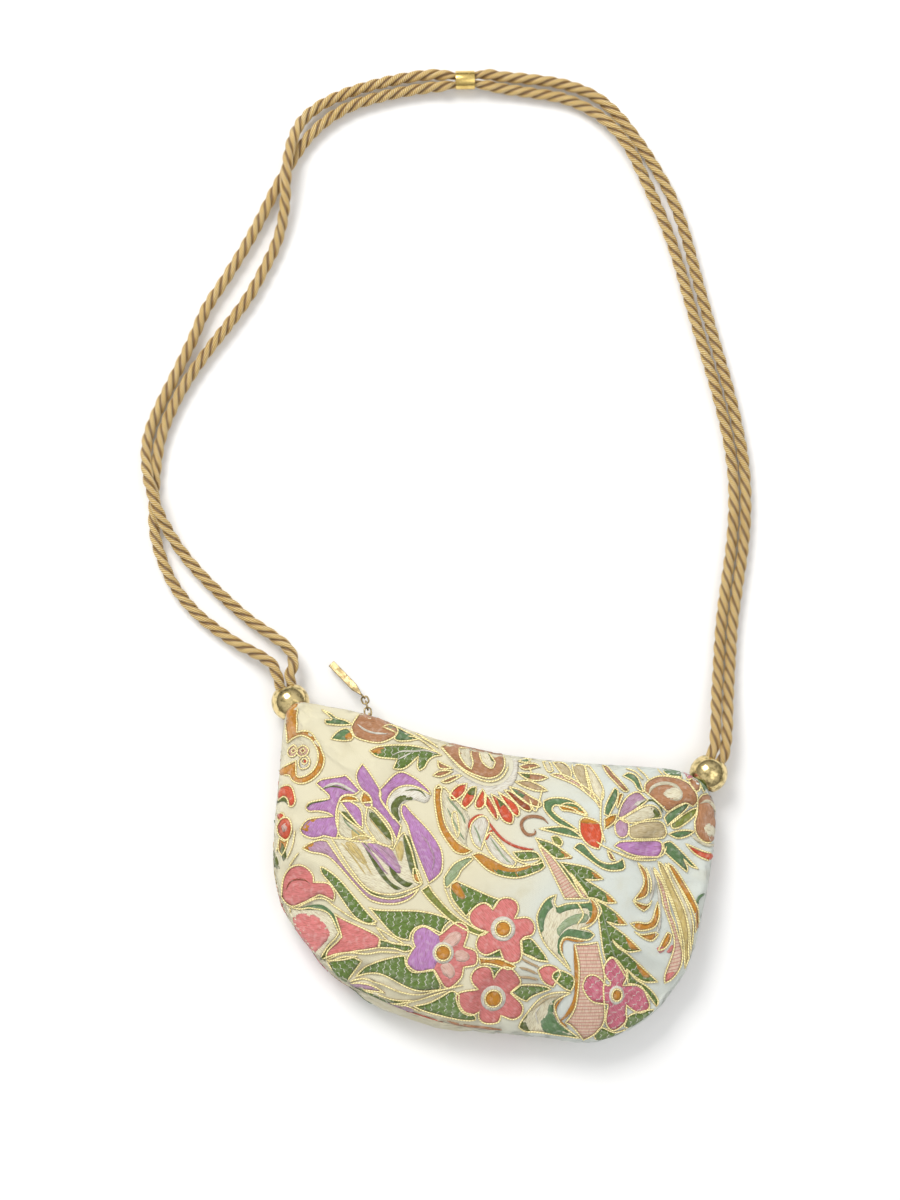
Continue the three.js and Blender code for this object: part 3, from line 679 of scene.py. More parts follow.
    Patch(WHITE, "468,832! 470,824 476,818 483,817 487,823 485,832 479,850! 472,844"),
    Patch(WHITE, "482,840! 488,833 495,838 507,855 513,862 510,866! 500,864 491,857 485,848"),
    Patch(LEAF, "510,852! 526,851 534,853 537,858! 518,860"),
    # Green loops and red bud
    Patch(GREEN, "541,802! 549,799 560,799 570,802 578,808 584,815! 577,814 568,809 552,806 549,811! "
        "555,817 571,828 575,832! 555,824 542,811"),
    Patch(OCHRE, "556,807! 563,804 572,805 579,810 584,817! 567,812 559,811"),
    Patch(GREEN, "536,829! 556,827 566,829 575,835 577,839!"),
    Patch(OLIVE, "548,837! 554,836 559,842 557,846! 551,844"),
    Patch(RED, "576,822! 581,818 595,823 598,832 597,841 594,849! 587,847 580,841 576,832"),
    Tint(OCHRE, "576,822! 582,818 590,819 596,824 581,824", 2),
    Patch(GREEN, "570,848! 574,844 580,845 590,857 598,862 606,863 613,861 617,858! 619,864 617,869 "
        "598,868"),
    Patch(OCHRE, "600,820! 606,816 612,815! 610,822 600,830!"),
    Patch(GREEN, "600,815! 602,805 611,789 614,791! 613,800 604,817!"),
    Patch(OCHRE, "612,806! 615,795 619,795! 613,809"),
    Patch(BROWN, "602,850! 606,853 610,860! 605,859"),
    # Lilac fan flower
    Patch(MAUVE, "613,817! 616,808 621,800 627,795 635,793 644,801! 638,806 618,818", 2),
    Tint(WHITE, "627,809! 633,802 642,800 638,805", 3),
    Patch(CREAM, "616,820! 636,809 644,806 651,807 656,812 657,818! 636,822 624,824", 2),
    Tint(MOSS, "646,809! 651,808 656,813 656,819 648,819 650,814", 3),
    Patch(STRAW, "624,828! 634,824 656,822 662,833 658,838! 634,839 625,837", 2),
    Patch(MAUVE, "610,825! 614,820 622,821 624,828 622,836 616,838 611,834", 2),
    Patch(LILAC, "609,846! 614,842 624,841 650,840 657,843 657,851 653,857! 628,855", 2),
    Patch(GREEN, "660,818! 666,811 682,803 685,804! 681,810 663,826!"),
    Patch(OLIVE, "667,824! 683,812 692,808 694,809! 691,816 676,827 668,828"),
    Patch(GREEN, "664,834! 672,831 682,830 691,831! 683,836 673,838"),
    Patch(GREEN, "659,843! 665,841 672,846 694,868! 686,865 679,858! 683,867 682,871! 667,858 660,851"),
    # Roundels
    Patch(BROWN, "641,792! 642,785 648,780 657,777 668,777 679,780 687,786 692,793 694,801! 689,806 682,803 "
        "673,806 664,811 658,807"),
    Tint(CREAM, "659,795! 662,791 669,788 676,789 679,794 677,800 670,801 664,799", 2),
    Patch(BROWN, "694,800! 698,795 705,794 711,798 714,806 715,830 712,838 705,842 697,839 692,832 691,822! "
        "694,812"),
    Tint(CREAM, "700,826! 706,823 712,828 713,835 706,836 702,832", 2),
    Patch(BROWN, "686,781! 691,779 696,783 696,790 692,792 688,788"),
    Patch(GREEN, "694,775! 705,782 710,783! 700,792! 697,786"),
    Patch(GREEN, "660,769! 676,769 679,778! 664,775"),
    Patch(PINK, "682,769! 692,770 690,779 684,780!"),
    Patch(RED, "681,843! 700,851 709,853 710,857 705,860! 697,857 688,851"),
    # Top right quills
    Patch(CREAM, "541,763! 548,764 551,772! 546,773"),
    Patch(STRAW, "551,764! 562,778 567,781! 569,775 566,768 560,764"),
    Patch(STRAW, "570,766! 572,776 583,794 588,796! 584,778 582,767"),
    Patch(CREAM, "583,767! 591,798 596,804! 600,797 598,785 588,768"),
    Patch(BROWN, "600,767! 605,768 612,776 625,791! 620,792 605,776"),
    Patch(SALMON, "548,776! 572,786 590,800 597,810! 597,803 590,794 568,779 556,775"),
    Patch(GREEN, "620,777! 626,774 634,778 640,793! 634,790 630,783"),
    # Ribbon and saw leaves
    Patch(SALMON, "535,845! 548,856 577,897! 560,897!"),
    Patch(SALMON, "566,872! 579,889 583,897! 578,896 571,884"),
    Patch(SALMON, "570,941! 580,941 592,939! 599,972 598,985 600,1012 595,1024 588,1030 580,1034! 568,1020 "
        "562,1017! 568,1008 572,995 574,965"),
    Patch(LEAF, "532,838! 550,844 568,857! 552,858 538,846"),
    Tint(OCHRE, "556,850! 562,853 568,858 561,858", 2),
    Patch(LEAF, "556,862! 580,866 590,871 598,878! 588,879 580,878! 602,892 611,901! 600,901 590,897 "
        "583,896!"),
    Tint(OCHRE, "586,871! 592,873 598,878 590,877", 2),
    Tint(OCHRE, "600,892! 606,896 611,901 603,901", 2),
    Patch(LEAF, "590,898! 600,903 612,912 621,922! 611,922 601,919! 620,933 635,947! 622,948 612,942 "
        "606,936! 612,944 624,952 653,978! 640,978 630,973 621,965! 620,973! 612,960 606,953 600,958! "
        "597,945 593,915! 596,908"),
    Tint(OCHRE, "610,912! 616,917 621,922 613,921", 2),
    Tint(OCHRE, "618,930! 624,937 634,946! 624,945", 2),
    Tint(OCHRE, "630,957! 638,963 646,972 640,974 633,967", 2),
    Patch(LEAF, "622,966! 630,975 640,981 648,988 654,997 652,1002! 640,987 631,981 622,979!"),
    Patch(LEAF, "622,1012! 630,1008 649,1005! 645,1010 627,1022 620,1021!"),
    Patch(LEAF, "590,1030! 597,1022 610,1027 622,1024! 612,1030 595,1035"),
    # Upper acanthus
    Patch(CREAM, "552,893! 543,897 536,906 533,918 541,941 566,967! 556,947 557,938 562,934 582,937 "
        "589,932! 583,927 575,926! 583,924 590,918 593,910 590,901 583,895! 584,900 574,901 562,902 "
        "553,905! 550,901"),
    Tint(GREEN, "551,894! 543,898 537,906 534,917 536,928 540,936! 540,922 543,912 549,905! 547,899", 2),
    Tint(GREEN, "551,905! 562,901 584,900 590,906 588,915 583,919! 584,912 582,907 572,907 561,909 "
        "553,912", 2),
    Tint(SAGE, "552,926! 560,917 570,912 580,911 584,914 581,920 570,922 560,927 553,936!", 2),
    Tint(GREEN, "553,949! 553,938 558,930 566,926 586,930 589,932! 580,937 561,935 557,942 558,950 "
        "566,963!", 2),
    Tint(OCHRE, "585,896! 590,902 592,911 588,919 580,922! 586,914 587,905", 3),
    # Lower acanthus
    Patch(CREAM, "566,988! 556,987 545,989 534,996 518,1017 517,1022! 524,1026 540,1027 576,1032! 558,1018 "
        "551,1001 554,994"),
    Tint(GREEN, "538,1016! 543,1008 546,999 551,994! 550,1003 552,1012 558,1020 576,1032! 548,1029 "
        "540,1024", 2),
    Tint(MOSS, "516,1021! 526,1006! 524,1014 525,1021 531,1027! 523,1026", 2),
    # Pink flowers lower left
    Patch(ROSE, "285,895! 285,883 288,873 294,866 303,864 311,868 316,875 316,881! 330,882 335,887 337,893 "
        "336,899! 323,893 316,896 298,904 292,903! 288,900"),
    Patch(CREAM, "293,905! 303,907 314,906 331,911 341,930! 338,935 331,942 322,956! 314,949 295,925"),
    Tint(ROSE, "295,916! 304,911 321,915 333,930! 329,938 316,951! 306,940 299,929", 2),
    Tint(GREEN, "303,906! 314,903 324,903 332,908 338,916 344,932! 339,929 335,919 329,911 320,908 "
        "310,908", 2),
    Patch(ROSE, "337,911! 344,916 376,931 381,937 380,944! 346,950 329,956! 330,948 344,934!"),
    Tint(MOSS, "322,956! 326,948 332,943! 327,957!", 2),
    # Feather
    Patch(OCHRE, "632,862! 638,867 642,875 641,893 627,899! 636,887 638,878"),
    Patch(OCHRE, "627,899! 641,903 646,899! 643,905 638,909! 632,905"),
    Patch(OCHRE, "624,921! 632,920 641,921 647,916 652,900! 654,908 653,917 648,925 633,928"),
    Patch(OCHRE, "628,929! 636,932 650,930 653,932! 646,938 638,936"),
    Patch(OCHRE, "662,930! 666,932 664,940 658,946 652,947!"),
    Tint(ROSE, "651,945! 656,943 659,947 654,950", 2),
    Tint(ROSE, "661,949! 667,942 669,944 665,950", 2),
    Patch(SALMON, "648,868! 659,886 665,910 670,922 677,946 677,958 673,968 666,976 660,979! 660,970 "
        "667,950 669,940 667,928 658,903 656,892"),
    Tint(ROSE, "660,979! 661,971 666,968 671,970 666,976", 2),
    Patch(YELLOW, "653,861! 658,864 664,876 677,903 682,918 684,935 684,955! 680,965! 678,935 669,905 "
        "657,875"),
    Patch(CREAM, "660,862! 667,872 686,912 688,945! 685,958! 686,940 680,910 667,882"),
    Patch(OCHRE, "663,862! 672,870 691,902 694,925! 690,930! 690,918 686,905 666,870"),
    # Seam edge bits
    Patch(MAUVE, "388,1000! 398,999 409,1001 420,1006! 408,1008 398,1006"),
    Patch(RED, "404,1010! 415,1008 442,1017! 425,1018 412,1016"),
    Tint(MOSS, "270,860! 276,866 282,868! 280,858 276,850! 272,852"),
)

FLOATS = (
    Float(WHITE, 2.6, "324,790 333,786 342,786 358,795"),
    Float(MOSS, 1.4, "322,791 332,788 342,789 350,793"),
    Float(MOSS, 1.5, "310,808 314,804 330,801"),
    Float(WHITE, 1.8, "358,726 364,731 374,735 388,736"),
    Float(WHITE, 1.4, "392,757 402,753 414,753 425,752 438,756"),
    Float(WHITE, 1.3, "396,762 404,758 412,754"),
    Float(MOSS, 1.5, "405,792 414,791 421,793 426,799"),
    Float(MOSS, 1.6, "360,880 370,889 382,895 395,896 408,892"),
    Float(RUST, 1.2, "289,888 293,881 300,878 308,879 313,883"),
    Float(CREAM, 2.2, "446,757 456,768 482,782 496,781 504,773 507,764"),
    Float(RED, 2.8, "467,829 469,822 475,817 482,816"),
    Float(RED, 2.6, "484,818 491,829 500,839 512,846 524,849 531,849"),
    Float(RED, 2.8, "484,840 487,834 491,830"),
    Float(BROWN, 3.2, "545,824 540,819 532,817 524,818 519,823 520,830 525,835 532,834 532,829"),
    Float(TAN, 2.4, "517,954 526,959 537,964"),
    Float(TAN, 2.4, "516,963 526,966 534,970"),
    Float(TAN, 2.4, "516,972 526,973 535,975"),
    Float(TAN, 2.4, "515,980 526,980 540,980"),
    Float(MAUVE, 2.4, "360,839 376,858 383,868 389,874"),
    Float(LILAC, 2.2, "368,841 378,850 394,868 400,872"),
    Float(MAUVE, 2.0, "378,845 388,853 402,868"),
    Float(YELLOW, 1.8, "343,843 351,852 367,874"),
    Float(YELLOW, 1.6, "350,842 359,852 374,875"),
    Float(SAGE, 2.0, "446,798 460,815 464,825"),
    Float(SAGE, 1.8, "446,809 457,831 463,841"),
    Float(SAGE, 1.6, "472,826 476,834 479,844"),
    Float(SAGE, 1.6, "488,838 502,858 508,863"),
    Float(SAGE, 1.4, "344,818 350,826 364,838"),
    Float(YELLOW, 1.4, "370,818 376,826 389,841"),
    Float(MAUVE, 1.6, "420,834 428,845 433,858 431,870"),
    Float(CREAM, 3.4, "687,835 702,844 712,844"),
    Float(GREEN, 2.4, "700,892 695,895 692,900 693,903"),
    Float(CREAM, 3.2, "645,795 648,789 655,785 664,784 673,787 678,793"),
    Float(CREAM, 3.0, "697,803 704,801 710,805 713,812"),
    Float(MOSS, 1.6, "633,808 640,803 648,801 655,806 659,813"),
    Float(MOSS, 2.6, "553,861 562,873 577,896"),
    Float(OCHRE, 4.6, "569,941 571,955 572,985 569,999 563,1009 557,1015"),
    Float(OCHRE, 2.0, "558,949 557,941 561,936 572,938 583,937"),
    Float(OCHRE, 2.0, "560,991 554,998 552,1006 556,1015 564,1021"),
    Float(WHITE, 2.6, "645,866 648,878 647,890 644,899"),
    Float(WHITE, 2.6, "651,882 654,895 654,922 649,934"),
    Float(SAGE, 1.4, "596,906 606,945 613,958"),
    Float(SAGE, 1.4, "566,866 576,878 587,890"),
    Float(BROWN, 2.0, "446,1015 460,1019 500,1024"),
    Float(STRAW, 1.6, "528,1006 543,994 556,990"),
    Float(WHITE, 1.6, "536,1018 533,1008 538,1000"),
)

# Gilt threads that are laid on their own.
GILT_LINES = (
    "301,905 310,900 322,896 330,898 338,905 362,919 378,922",
    "298,830 296,845 290,858",
    "302,852 297,858 292,865",
    "408,738 420,742 440,757",
    "414,735 426,741 436,748",
    "420,739 430,744 438,750",
    "540,790 533,812 527,800",
    "530,776 527,768",
    "325,955 338,951 352,949 368,950 382,948 400,949",
    "329,957 345,956 360,952",
    "623,770 632,773 640,781",
    "634,769 642,776 646,782",
    "655,770 661,776",
    "572,900 578,912 572,922",
    "443,886 452,905 470,921",
    "517,948 530,955 545,958",
    "640,866 645,880 644,892",
    "592,842 600,847 625,858 640,860 652,859",
    "599,792 597,808 597,826 600,843",
    "352,977 366,975 382,979 398,986 414,989 430,987 462,980",
    "378,993 394,998 412,996 446,986",
    "350,990 366,998 400,1008",
    "435,790 443,789 450,796 466,812",
    "487,833 507,855 517,862 530,865 540,862",
    "281,846 276,860 274,874",
    "440,749 461,771 474,779 488,783 500,779 507,768",
    "612,852 626,857 642,857 657,855 662,846",
    "648,866 657,880 670,912 675,930 677,946",
)

WHORLS = (
    Whorl(442.0, 949.0, 10.5, 10.5, 0.7),
    Whorl(500.0, 926.0, 12.0, 12.0, 0.62),
    Whorl(491.0, 993.0, 12.5, 12.5, 0.66),
    Whorl(611.0, 990.0, 7.5, 9.0, 0.64),
)


@dataclass(frozen=True)
class Metal:
    """Gilt or aged metal, with cloudy dark patches and fine scratches: tarnish on the aged metals, and
    painted reflections of the room on the bright gold.
    """

    name: str
    colour: str
    tarnish_and_reflection: str
    roughness: float
    clouds: float

    def material(self) -> bpy.types.Material:
        """Make the finish."""
        nodes = Nodes(self.name, Metallic=1.0)
        where = nodes.add("TexCoord").outputs["Object"]
        # cloudy dark patches: tarnish on the aged metals, painted reflections of the room on the bright gold
        # balls
        cloud = nodes.ramp(nodes.noise(where, 420.0, 4.0), 0.42, 0.72, (0.0, self.clouds))
        nodes.put("Base Color", nodes.mix(cloud, linear(self.colour), linear(self.tarnish_and_reflection)))
        fine = nodes.noise(where, 2600.0, 3.0)
        spread = nodes.ramp(fine, 0.3, 0.7, (self.roughness * 0.7, self.roughness * 1.5))
        nodes.put("Roughness", nodes.math("ADD", spread, nodes.math("MULTIPLY", cloud, 0.15)))
        nodes.bump(nodes.noise(where, 700.0, 3.0), 0.00006, 0.5)
        return nodes.material


@dataclass(frozen=True)
class TwistedSilk:
    """The strap's shiny rayon, whose fine yarns run nearly along the rope, with painted shade where the
    plies turn in towards each other and painted glints on the yarns.
    """

    name: str
    colour: str
    light: str
    shade: str
    groove_shadow_colour: str
    yarns: int = 7
    slant: float = 96.0

    def material(self) -> bpy.types.Material:
        """Make the finish."""
        nodes = Nodes(self.name, Sheen_Weight=0.3, Sheen_Roughness=0.4, Metallic=0.1, Roughness=0.42)
        uv = nodes.add("UVMap", uv_map="ply").outputs[0]
        place = nodes.add("TexCoord").outputs["Object"]
        split = nodes.add("SeparateXYZ", {0: uv})
        turned = nodes.math("MULTIPLY_ADD", split.outputs[1], self.slant, split.outputs[0])
        # painted shade: each ply is darkened towards its inner side, where it faces the other plies, in the
        # groove shadow colour
        uneven = nodes.math("MULTIPLY_ADD", nodes.noise(place, 260.0, 3.0), 0.16, -0.08)
        inward = nodes.math("ADD", nodes.math("PINGPONG", split.outputs[0], 0.5), uneven)
        groove_shade = nodes.ramp(inward, 0.12, 0.26, (0.0, 0.85))
        wobble = nodes.math("MULTIPLY", nodes.noise(place, 900.0, 2.0), 0.05)
        phase = nodes.math("MULTIPLY", nodes.math("ADD", turned, wobble), self.yarns * 2 * math.pi)
        yarn = nodes.math("MULTIPLY_ADD", nodes.math("SINE", phase), 0.5, 0.5)
        fibre = nodes.noise(nodes.add("CombineXYZ", {0: turned, 1: split.outputs[1]}).outputs[0], 60.0, 3.0)
        body = nodes.mix(yarn, linear(self.shade), linear(self.colour))
        # painted glints: the yarns' crests are lightened towards the light colour
        glint = nodes.ramp(nodes.math("MULTIPLY", yarn, fibre), 0.38, 0.62, (0.0, 0.85))
        cloudy = nodes.ramp(nodes.noise(place, 60.0, 3.0), 0.35, 0.75, (0.0, 0.28))
        lit = nodes.mix(glint, body, linear(self.light))
        worn = nodes.mix(cloudy, lit, linear(self.shade))
        nodes.put("Base Color", nodes.mix(groove_shade, worn, linear(self.groove_shadow_colour)))
        nodes.bump(nodes.math("MULTIPLY_ADD", fibre, 0.35, yarn), 0.0004, 1.0)
        return nodes.material


@dataclass(frozen=True)
class GroundSatin:
    """The brocade's pale ground, a fine satin that turns from cream to a cool pale blue."""

    name: str
    warm: str
    cool: str
    soil: str

    def material(self) -> bpy.types.Material:
        """Make the finish."""
        nodes = Nodes(self.name, Roughness=0.62, Sheen_Weight=0.35, Sheen_Roughness=0.35)
        cloth = nodes.add("UVMap", uv_map="cloth").outputs[0]
        split = nodes.add("SeparateXYZ", {0: cloth})
        broad = nodes.noise(cloth, 28.0, 3.0)
        drift = nodes.math("MULTIPLY_ADD", nodes.math("SUBTRACT", broad, 0.5), 0.05, split.outputs[0])
        share = nodes.ramp(drift, -0.012, 0.045)
        ground = nodes.mix(share, linear(self.warm), linear(self.cool))
        dusty = nodes.ramp(nodes.noise(cloth, 90.0, 4.0), 0.5, 0.8, (0.0, 0.3))
        warp = nodes.math("SINE", nodes.math("MULTIPLY", split.outputs[0], 2 * math.pi / 0.00042))
        lean = nodes.math("ADD", split.outputs[0], split.outputs[1])
        twill = nodes.math("SINE", nodes.math("MULTIPLY", lean, 2 * math.pi / 0.00075))
        weave = nodes.math("MULTIPLY_ADD", twill, 0.6, warp)
        thread = nodes.ramp(weave, -1.4, 1.4, (0.0, 0.16))
        soiled = nodes.mix(dusty, ground, linear(self.soil))
        nodes.put("Base Color", nodes.mix(thread, soiled, linear(self.soil)))
        slub = nodes.noise(nodes.add("Mapping", {0: cloth, "Scale": (2400.0, 260.0, 1.0)}).outputs[0], 1.0)
        nodes.bump(nodes.math("MULTIPLY_ADD", slub, 0.8, weave), 0.00009, 0.8)
        return nodes.material


@dataclass(frozen=True)
class WovenMotif:
    """The figured weave of the motifs: dyed floats with a fine rib, and pale ticks on the leaves."""

    name: str
    tick: str
    rung: str
    float_width: float = 0.00048
    tick_fold: float = 0.0011
    tick_gap: float = 0.0032
    rib_gap: float = 0.0015

    def material(self) -> bpy.types.Material:
        """Make the finish."""
        nodes = Nodes(self.name, Roughness=0.5, Sheen_Weight=0.3, Sheen_Roughness=0.3)
        dye = nodes.add("Attribute", attribute_name="dye").outputs["Color"]
        ticked = nodes.add("Attribute", attribute_name="ticks").outputs["Fac"]
        lay = nodes.add("UVMap", uv_map="lay").outputs[0]
        split = nodes.add("SeparateXYZ", {0: lay})
        along, over = split.outputs[0], split.outputs[1]
        stretched = nodes.add("Mapping", {0: lay, "Scale": (300.0, 3000.0, 1.0)}).outputs[0]
        streak = nodes.noise(stretched, 1.0, 3.0)
        rib = nodes.math("SINE", nodes.math("MULTIPLY", over, 2 * math.pi / self.float_width))
        cloudy = nodes.noise(lay, 420.0, 3.0)
        dark = nodes.mix(1.0, dye, (0.68, 0.6, 0.5, 1.0), "MULTIPLY")
        pale = nodes.mix(0.4, dye, (0.97, 0.93, 0.84, 1.0))
        shaded = nodes.mix(nodes.ramp(streak, 0.3, 0.6), dark, dye)
        lit = nodes.mix(nodes.ramp(cloudy, 0.48, 0.72, (0.0, 0.5)), shaded, pale)
        bent = nodes.math("MULTIPLY_ADD", nodes.math("PINGPONG", over, self.tick_fold), 0.8, along)
        off = nodes.math("PINGPONG", bent, self.tick_gap / 2)
        broken = nodes.ramp(nodes.noise(lay, 700.0, 1.0), 0.42, 0.5)
        line = nodes.math("MULTIPLY", nodes.ramp(off, 0.00012, 0.00028, (0.85, 0.0)), broken)
        tick = nodes.math("MULTIPLY", line, ticked)
        stripe = nodes.math("SINE", nodes.math("MULTIPLY", along, 2 * math.pi / self.rib_gap))
        ribbed = nodes.add("Attribute", attribute_name="ribs").outputs["Fac"]
        rung = nodes.math("MULTIPLY", nodes.ramp(stripe, 0.35, 0.8, (0.0, 0.8)), ribbed)
        banded = nodes.mix(rung, lit, linear(self.rung))
        nodes.put("Base Color", nodes.mix(tick, banded, linear(self.tick)))
        height = nodes.math("MULTIPLY_ADD", streak, 0.9, rib)
        nodes.bump(nodes.math("MULTIPLY_ADD", tick, 2.5, height), 0.00012, 0.9)
        return nodes.material


@dataclass(frozen=True)
class GiltThread:
    """Gold thread, a foil wound round a core, laid along the motifs' edges, with painted shade on its flanks
    and underside and in the grooves between the foil's turns, and random wear.
    """

    name: str
    colour: str
    shade: str
    winding: float = 0.0013

    def material(self) -> bpy.types.Material:
        """Make the finish."""
        nodes = Nodes(self.name, Metallic=0.1, Roughness=0.4)
        split = nodes.add("SeparateXYZ", {0: nodes.add("UVMap", uv_map="thread").outputs[0]})
        crest = nodes.math("SINE", nodes.math("MULTIPLY", split.outputs[0], 2 * math.pi))
        turn = nodes.math("MULTIPLY", split.outputs[1], 2 * math.pi / self.winding)
        foil = nodes.math("SINE", nodes.math("MULTIPLY_ADD", split.outputs[0], 2 * math.pi, turn))
        place = nodes.add("TexCoord").outputs["Object"]
        worn = nodes.ramp(nodes.noise(place, 500.0, 3.0), 0.5, 0.75, (0.0, 0.55))
        # painted shade in the grooves between the foil's turns
        groove_shade = nodes.ramp(foil, -0.95, -0.3, (0.6, 0.0))
        # painted shade on the thread's flanks and underside; its top stays light
        flank = nodes.ramp(crest, 0.1, 0.6, (0.85, 0.0))
        shade_and_wear = nodes.math("MAXIMUM", flank, nodes.math("MAXIMUM", groove_shade, worn))
        nodes.put("Base Color", nodes.mix(shade_and_wear, linear(self.colour), linear(self.shade)))
        nodes.bump(foil, 0.00008, 0.8)
        return nodes.material


@dataclass(frozen=True)
class ZipTape:
    """The zip's woven tape, a close herringbone."""

    name: str
    colour: str
    shade: str
    rib: float = 0.0008

    def material(self) -> bpy.types.Material:
        """Make the finish."""
        nodes = Nodes(self.name, Roughness=0.85, Sheen_Weight=0.2)
        place = nodes.add("TexCoord").outputs["Object"]
        split = nodes.add("SeparateXYZ", {0: place})
        fold = nodes.math("PINGPONG", split.outputs[2], self.rib * 1.5)
        lean = nodes.math("ADD", split.outputs[0], fold)
        bone = nodes.math("SINE", nodes.math("MULTIPLY", lean, 2 * math.pi / self.rib))
        share = nodes.ramp(bone, -1.0, 1.0, (0.0, 0.7))
        cloudy = nodes.ramp(nodes.noise(place, 300.0, 3.0), 0.4, 0.7, (0.0, 0.25))
        woven = nodes.mix(share, linear(self.shade), linear(self.colour))
        nodes.put("Base Color", nodes.mix(cloudy, woven, linear(self.shade)))
        nodes.bump(bone, 0.0001, 0.8)
        return nodes.material


@dataclass(frozen=True)
class Paper:
    """The matt white sheet under the bag."""

    name: str
    colour: str

    def material(self) -> bpy.types.Material:
        """Make the finish."""
        nodes = Nodes(self.name, Roughness=0.9)
        place = nodes.add("TexCoord").outputs["Object"]
        mottle = nodes.ramp(nodes.noise(place, 8.0, 3.0), 0.3, 0.7, (0.0, 0.04))
        nodes.put("Base Color", nodes.mix(mottle, linear(self.colour), (0.7, 0.7, 0.7, 1.0)))
        return nodes.material


# The balls' polished gold: its dark olive clouds are painted reflections of the room, not tarnish.
BRIGHT_GOLD = Metal("bright_gold", "E8D298", "6E6236", 0.14, 0.85)
FERRULE_GOLD = Metal("ferrule_gold", "E4C87C", "B8944C", 0.2, 0.4)
OLD_GOLD = Metal("old_gold", "B8A47A", "6A5834", 0.42, 0.6)
COIL_GOLD = Metal("coil_gold", "D2B468", "8A6C34", 0.32, 0.5)
STRAP_SILK = TwistedSilk("strap_silk", "FCE298", "FFF8D8", "C69848", "855A20")
GROUND = GroundSatin("ground_satin", "EDE6C8", "E2E9E3", "CFC294")
MOTIF = WovenMotif("woven_motif", "F4F2E2", "D68C80")
GILT = GiltThread("gilt_thread", "FFF4B4", "94682C")
TAPE = ZipTape("zip_tape", "D2BF92", "A8956A")
SHEET = Paper("white_sheet", "FAFAFA")


@dataclass
class Studio:
    """The camera, the light and the pale floor."""

    aim: Vector
    distance: float = 1.3
    elevation: float = 84.0
    azimuth: float = -5.0
    roll: float = PHOTO_TURN
    frame_height: float = 0.5484
    sensor: float = 36.0
    floor_drop: float = 0.002
    floor_size: float = 6.0
    level_light: float = 0.12
    top_light: float = 0.8
    top_slope: float = 0.8

    def build(self) -> None:
        """Make the camera, the lights, the world and the floor."""
        self.add_camera()
        self.add_floor()
        self.add_light("window", place=(-0.9, 0.9, 1.5), size=0.9, power=26.0, colour=(1.0, 0.99, 0.97))
        self.add_light("lamp", place=(0.9, -0.3, 1.7), size=1.4, power=5.0, colour=(1.0, 0.98, 0.95))
        self.add_world()
        bpy.context.scene.view_settings.view_transform = "Standard"

    def add_camera(self) -> None:
        """Look down at the photo's angle, with the bag's top edge turned as it is there."""
        data = bpy.data.cameras.new("camera")
        data.sensor_width = self.sensor
        data.lens = self.sensor * self.distance / self.frame_height
        camera = add_object("camera", data)
        rise = math.radians(self.elevation)
        side = math.radians(self.azimuth)
        away = Vector((math.sin(side) * math.cos(rise), -math.cos(side) * math.cos(rise), math.sin(rise)))
        top = Vector((-math.sin(self.roll), math.cos(self.roll), 0.0))
        top = (top - away * top.dot(away)).normalized()
        right = top.cross(away)
        place = self.aim + away * self.distance
        turn = Matrix((right, top, away)).transposed().to_4x4()
        camera.matrix_world = Matrix.Translation(place) @ turn
        bpy.context.scene.camera = camera

    def add_light(self, name: str, place: tuple, size: float, power: float, colour: tuple) -> None:
        """Hang a soft square light that points at the bag.

        Args:
            name: its name.
            place: where it hangs, from the camera's aim.
            size: its side.
            power: in watts.
            colour: its linear colour.
        """
        data = bpy.data.lights.new(name, "AREA")
        data.size = size
        data.energy = power
        data.color = colour
        light = add_object(name, data)
        light.location = self.aim + Vector(place)
        light.rotation_euler = Vector(place).to_track_quat("Z", "Y").to_euler()

    def add_floor(self) -> None:
        """Lay a wide pale sheet just under the bag."""
        place = (self.aim.x, self.aim.y, -self.floor_drop)
        floor = plain_shape("plane", "floor", size=self.floor_size, location=place)
        floor.data.materials.append(SHEET.material())

    def add_world(self) -> None:
        """Fill the room with soft light, brighter above than at the horizon."""
        world = bpy.data.worlds.new("room")
        world.use_nodes = True
        tree = world.node_tree
        split = tree.nodes.new("ShaderNodeSeparateXYZ")
        ramp = tree.nodes.new("ShaderNodeMapRange")
        tree.links.new(tree.nodes.new("ShaderNodeTexCoord").outputs["Generated"], split.inputs[0])
        tree.links.new(split.outputs[2], ramp.inputs["Value"])
        ramp.inputs["From Max"].default_value = self.top_slope
        ramp.inputs["To Min"].default_value = self.level_light
        ramp.inputs["To Max"].default_value = self.top_light
        tree.nodes["Background"].inputs["Color"].default_value = (1.0, 1.0, 1.0, 1.0)
        tree.links.new(ramp.outputs[0], tree.nodes["Background"].inputs["Strength"])
        bpy.context.scene.world = world


